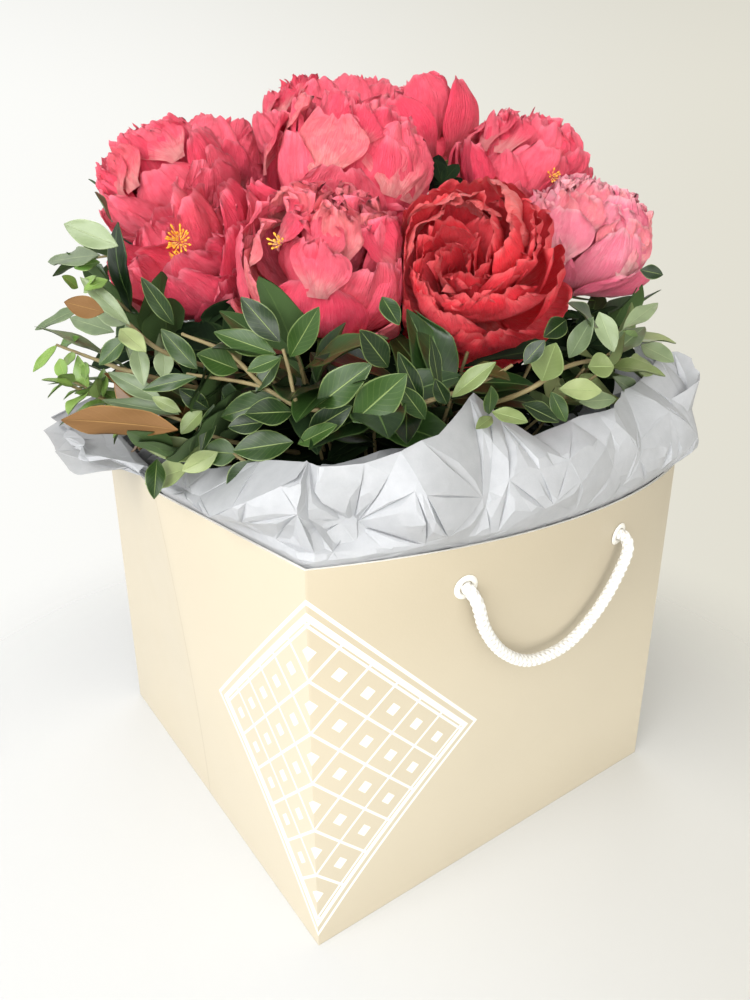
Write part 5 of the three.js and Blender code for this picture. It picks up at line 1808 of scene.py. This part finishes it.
def add_shade_leaves(sheets, stream):
    """Dark leaves deeper in the bunch, where the photograph shows shade and not the wall behind."""
    for u, v, depth, size in SHADE_SPOTS:
        base = on_bunch(u, v, -depth)
        for k in range(4):
            turn = GOLDEN_ANGLE * k + next(stream)
            direction = unit(TO_RIGHT * math.cos(turn) + TO_TOP * math.sin(turn) - 0.3 * TO_EYE)
            where = facing(base, direction, unit(np.cross(direction, TO_EYE + 0.4 * TO_TOP)), size=size)
            grid = leaf_grid(where, LEAVES["broad"], stream)
            add_leaf(sheets, beside_blooms(grid, SEEN_CLEARANCE), next(stream))


def seen_grid(bronze, from_pixel, to_pixel, wide, stream):
    """The points of a leaf that the photograph shows. The bronze ones stand further out, back to front."""
    out = 0.012 * next(stream) + (0.024 if bronze else 0)
    base, tip = on_bunch(*from_pixel, out - 0.004), on_bunch(*to_pixel, out + 0.010 * next(stream))
    length = np.linalg.norm(tip - base)
    near = (CAMERA_PLACE - tip) @ TO_EYE
    sway = TO_RIGHT * (next(stream) - 0.5) + TO_TOP * (0.7 * next(stream) - 0.1)
    direction = unit(tip - base)
    where = facing(base, direction, unit(np.cross(direction, TO_EYE + 0.9 * sway)), size=1)
    droop = 0.1 * (next(stream) - 0.2)
    where["direction"] = unit(tip - base + where["normal"] * droop * length)
    leaf = dict(length=length, width=1.12 * wide * near / PHOTO_FOCUS, droop=droop, waist=0.46)
    grid = leaf_grid(where, leaf, stream)
    return grid[:, ::-1] if bronze else grid


def make_seen_leaves(materials):
    """The leaves at the front, each at its own place in the photograph."""
    stream = draws(2024)
    kinds = sorted({leaf[0] for leaf in SEEN_LEAVES})
    found = {kind: Sheets() for kind in kinds}
    for kind, u0, v0, u1, v1, wide in SEEN_LEAVES:
        grid = seen_grid(kind == "bronze", (u0, v0), (u1, v1), wide, stream)
        add_leaf(found[kind], beside_blooms(grid, SEEN_CLEARANCE), next(stream))
    for kind in kinds:
        found[kind].piece(f"seen_leaves_{kind}", [materials[kind]], LEAF_SLOTS[kind])


def make_seen_twigs(material):
    """The twigs at the front, each at its own place in the photograph."""
    twigs = Sheets()
    radius = np.linspace(0.0017, 0.0009, 40) * (1 + 0.08 * np.sin(np.arange(40) * 2.1))
    for route in SEEN_TWIGS:
        seen = [on_bunch(u, v) for u, v in route]
        inward = seen[0] * [0.55, 0.55, 1] - [0, 0, 0.03]
        path = evenly(spline_points([inward, *seen], 40), 40)
        twigs.add(tube(path, radius, 8), closed=True)
    twigs.piece("seen_twigs", [material], "leaf")


# Floor and light

FLOOR_HALF = 3.0
FLOOR_DROP = -0.0002
FLOOR_ACROSS = (0.815, -0.579)
FLOOR_FADE = (0.24, 0.52)
# The floor's colours to the left and to the right: the right one darker and warmer, as painted shade
FLOOR_COLORS = ((208, 209, 210), (199, 198, 194))
SKY_LEFT = (255, 255, 252)
SKY_RIGHT = (228, 225, 212)
SKY_STRENGTH = 0.985
OVERHEAD_STRENGTH = 0.6
LIGHTS = {
    "window": dict(place=(-1.6, -0.5, 1.15), size=1.4, power=38.5),
    "fill": dict(place=(-0.5, -1.7, 1.2), size=1.6, power=12.0),
    "front": dict(place=(-0.9, -1.45, 0.4), size=1.0, power=18.5),
    "back": dict(place=(1.2, 1.6, 1.2), size=1.8, power=15.0),
}
LIGHT_AIM = (0, 0, 0.3)


def make_floor():
    """A plain pale floor with painted shade that makes it a little darker to the right, melting into the
    studio's white further out.
    """
    mesh = bpy.data.meshes.new("floor")
    corners = [(x * FLOOR_HALF, y * FLOOR_HALF, 0) for x, y in ((-1, -1), (1, -1), (1, 1), (-1, 1))]
    mesh.from_pydata(corners, [], [(0, 1, 2, 3)])
    floor = bpy.data.objects.new("floor", mesh)
    p = Paint("floor_white")
    x, y, _ = p.parts(p.place())
    sideways = x * FLOOR_ACROSS[0] + y * FLOOR_ACROSS[1]
    # Painted shade: the floor darkens towards the right
    color = p.blend(p.steps(sideways, -0.1, 0.4), *FLOOR_COLORS)
    p.set(Base_Color=color, Roughness=0.6, Specular_IOR_Level=0.2)
    away = p.node("VectorMath", p.place(), out="Value", operation="LENGTH")
    p.mixed(p.steps(away, *FLOOR_FADE), p.node("BsdfTransparent"))
    mesh.materials.append(p.material)
    floor.location.z = FLOOR_DROP
    bpy.context.scene.collection.objects.link(floor)


def make_world():
    """A white studio all round, a little darker to the right and overhead."""
    world = bpy.data.worlds.new("studio")
    bpy.context.scene.world = world
    p = Paint("studio", world)
    way = p.node("TexCoord", out="Generated")
    right = [math.cos(CAMERA_AZIMUTH), math.sin(CAMERA_AZIMUTH), 0]
    sideways = p.node("VectorMath", way, right, out="Value", operation="DOT_PRODUCT")
    height = p.parts(way)[2]
    p.set(Color=p.blend(p.steps(sideways, -0.5, 0.5), SKY_LEFT, SKY_RIGHT))
    p.set(Strength=p.steps(height, 0.12, 0.62, SKY_STRENGTH, OVERHEAD_STRENGTH))


def make_lights():
    """Soft light from a large window on the left, with weaker fills from the front and from behind."""
    for name, light in LIGHTS.items():
        data = bpy.data.lights.new(name, "AREA")
        data.size = light["size"]
        data.energy = light["power"]
        lamp = bpy.data.objects.new(name, data)
        lamp.location = light["place"]
        lamp.rotation_euler = (Vector(LIGHT_AIM) - Vector(light["place"])).to_track_quat("-Z", "Y").to_euler()
        bpy.context.scene.collection.objects.link(lamp)
    bpy.context.scene.view_settings.view_transform = "Standard"


def cad_finish(name, material):
    """A better finish for a CAD node that stays as it is."""
    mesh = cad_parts[name].data
    mesh.materials.clear()
    mesh.materials.append(material)


# The whole bunch


def dress_bag():
    """The bag with its handles, its tissue and what the CAD has inside it."""
    eyelets = eyelet_places()
    rope = rope_paint()
    for name, face in (("front", -1), ("back", 1)):
        make_rope(name, face, eyelets, rope)
    gloss = eyelet_paint()
    for face, side, centre, out in eyelets:
        corner = f"{'front' if face < 0 else 'back'}_{'left' if side < 0 else 'right'}"
        make_eyelet(f"eyelet_{corner}", centre, out, gloss)
    plain = {name: plain_paint(name, *values) for name, values in PLAIN_PAINTS.items()}
    make_bag(bag_paint(), plain["paper_edge"])
    cad_finish("base_card", plain["board"])
    cad_finish("binding_twine", plain["twine_fibre"])
    tissue = tissue_paint()
    for order, name in enumerate(TISSUES):
        make_tissue(name, tissue, OUTER_SEED + order, nodes=[f"tissue_{name}"])
        make_tissue(name, tissue, INNER_SEED + order, shrink=INNER_SHRINK, inward=INNER_INWARD)


def dress_flowers():
    """The peonies with their stems, and the stamens that show."""
    petals = {}
    for hue, (deep_and_painted_shade, main, *_) in PETAL_COLORS.items():
        core = plain_paint(f"heart_{hue}", 220.0, 3.0, deep_and_painted_shade, main, 0.7, 0.001)
        petals[hue] = (petal_paint(hue), core)
    green = bark_paint("peony_stem", *STEM_GREENS)
    for head in HEADS:
        make_bloom(head, *petals[head.hue])
        make_stem(head, green)
    yellow = stamen_paint()
    opened = HEADS[int(OPEN_BLOOM) - 1]
    middle = opened.placed(0, 0, -OPEN_DEPTH * opened.reach)
    nodes = [f"stamens_{OPEN_BLOOM}"]
    make_stamens("stamens_open", middle, opened.axis, yellow, nodes=nodes, **OPEN_STAMENS)
    for name in TUFTS:
        make_tuft(name, yellow)


def dress_foliage():
    """The sprays, the leaves and twigs that the photograph shows, and those in the shade."""
    leaves = {kind: leaf_paint(kind) for kind in LEAF_COLORS}
    bark = bark_paint("twig_bark", *TWIG_BROWNS)
    for name, spray in SPRAYS.items():
        make_spray(name, leaves[SPRAY_PAINTS.get(spray[3], spray[3])], bark)
    make_seen_leaves(leaves)
    make_seen_twigs(bark)
    make_inner_foliage(leaves["shade"], bark)


dress_bag()
dress_flowers()
dress_foliage()
make_floor()
make_world()
make_lights()
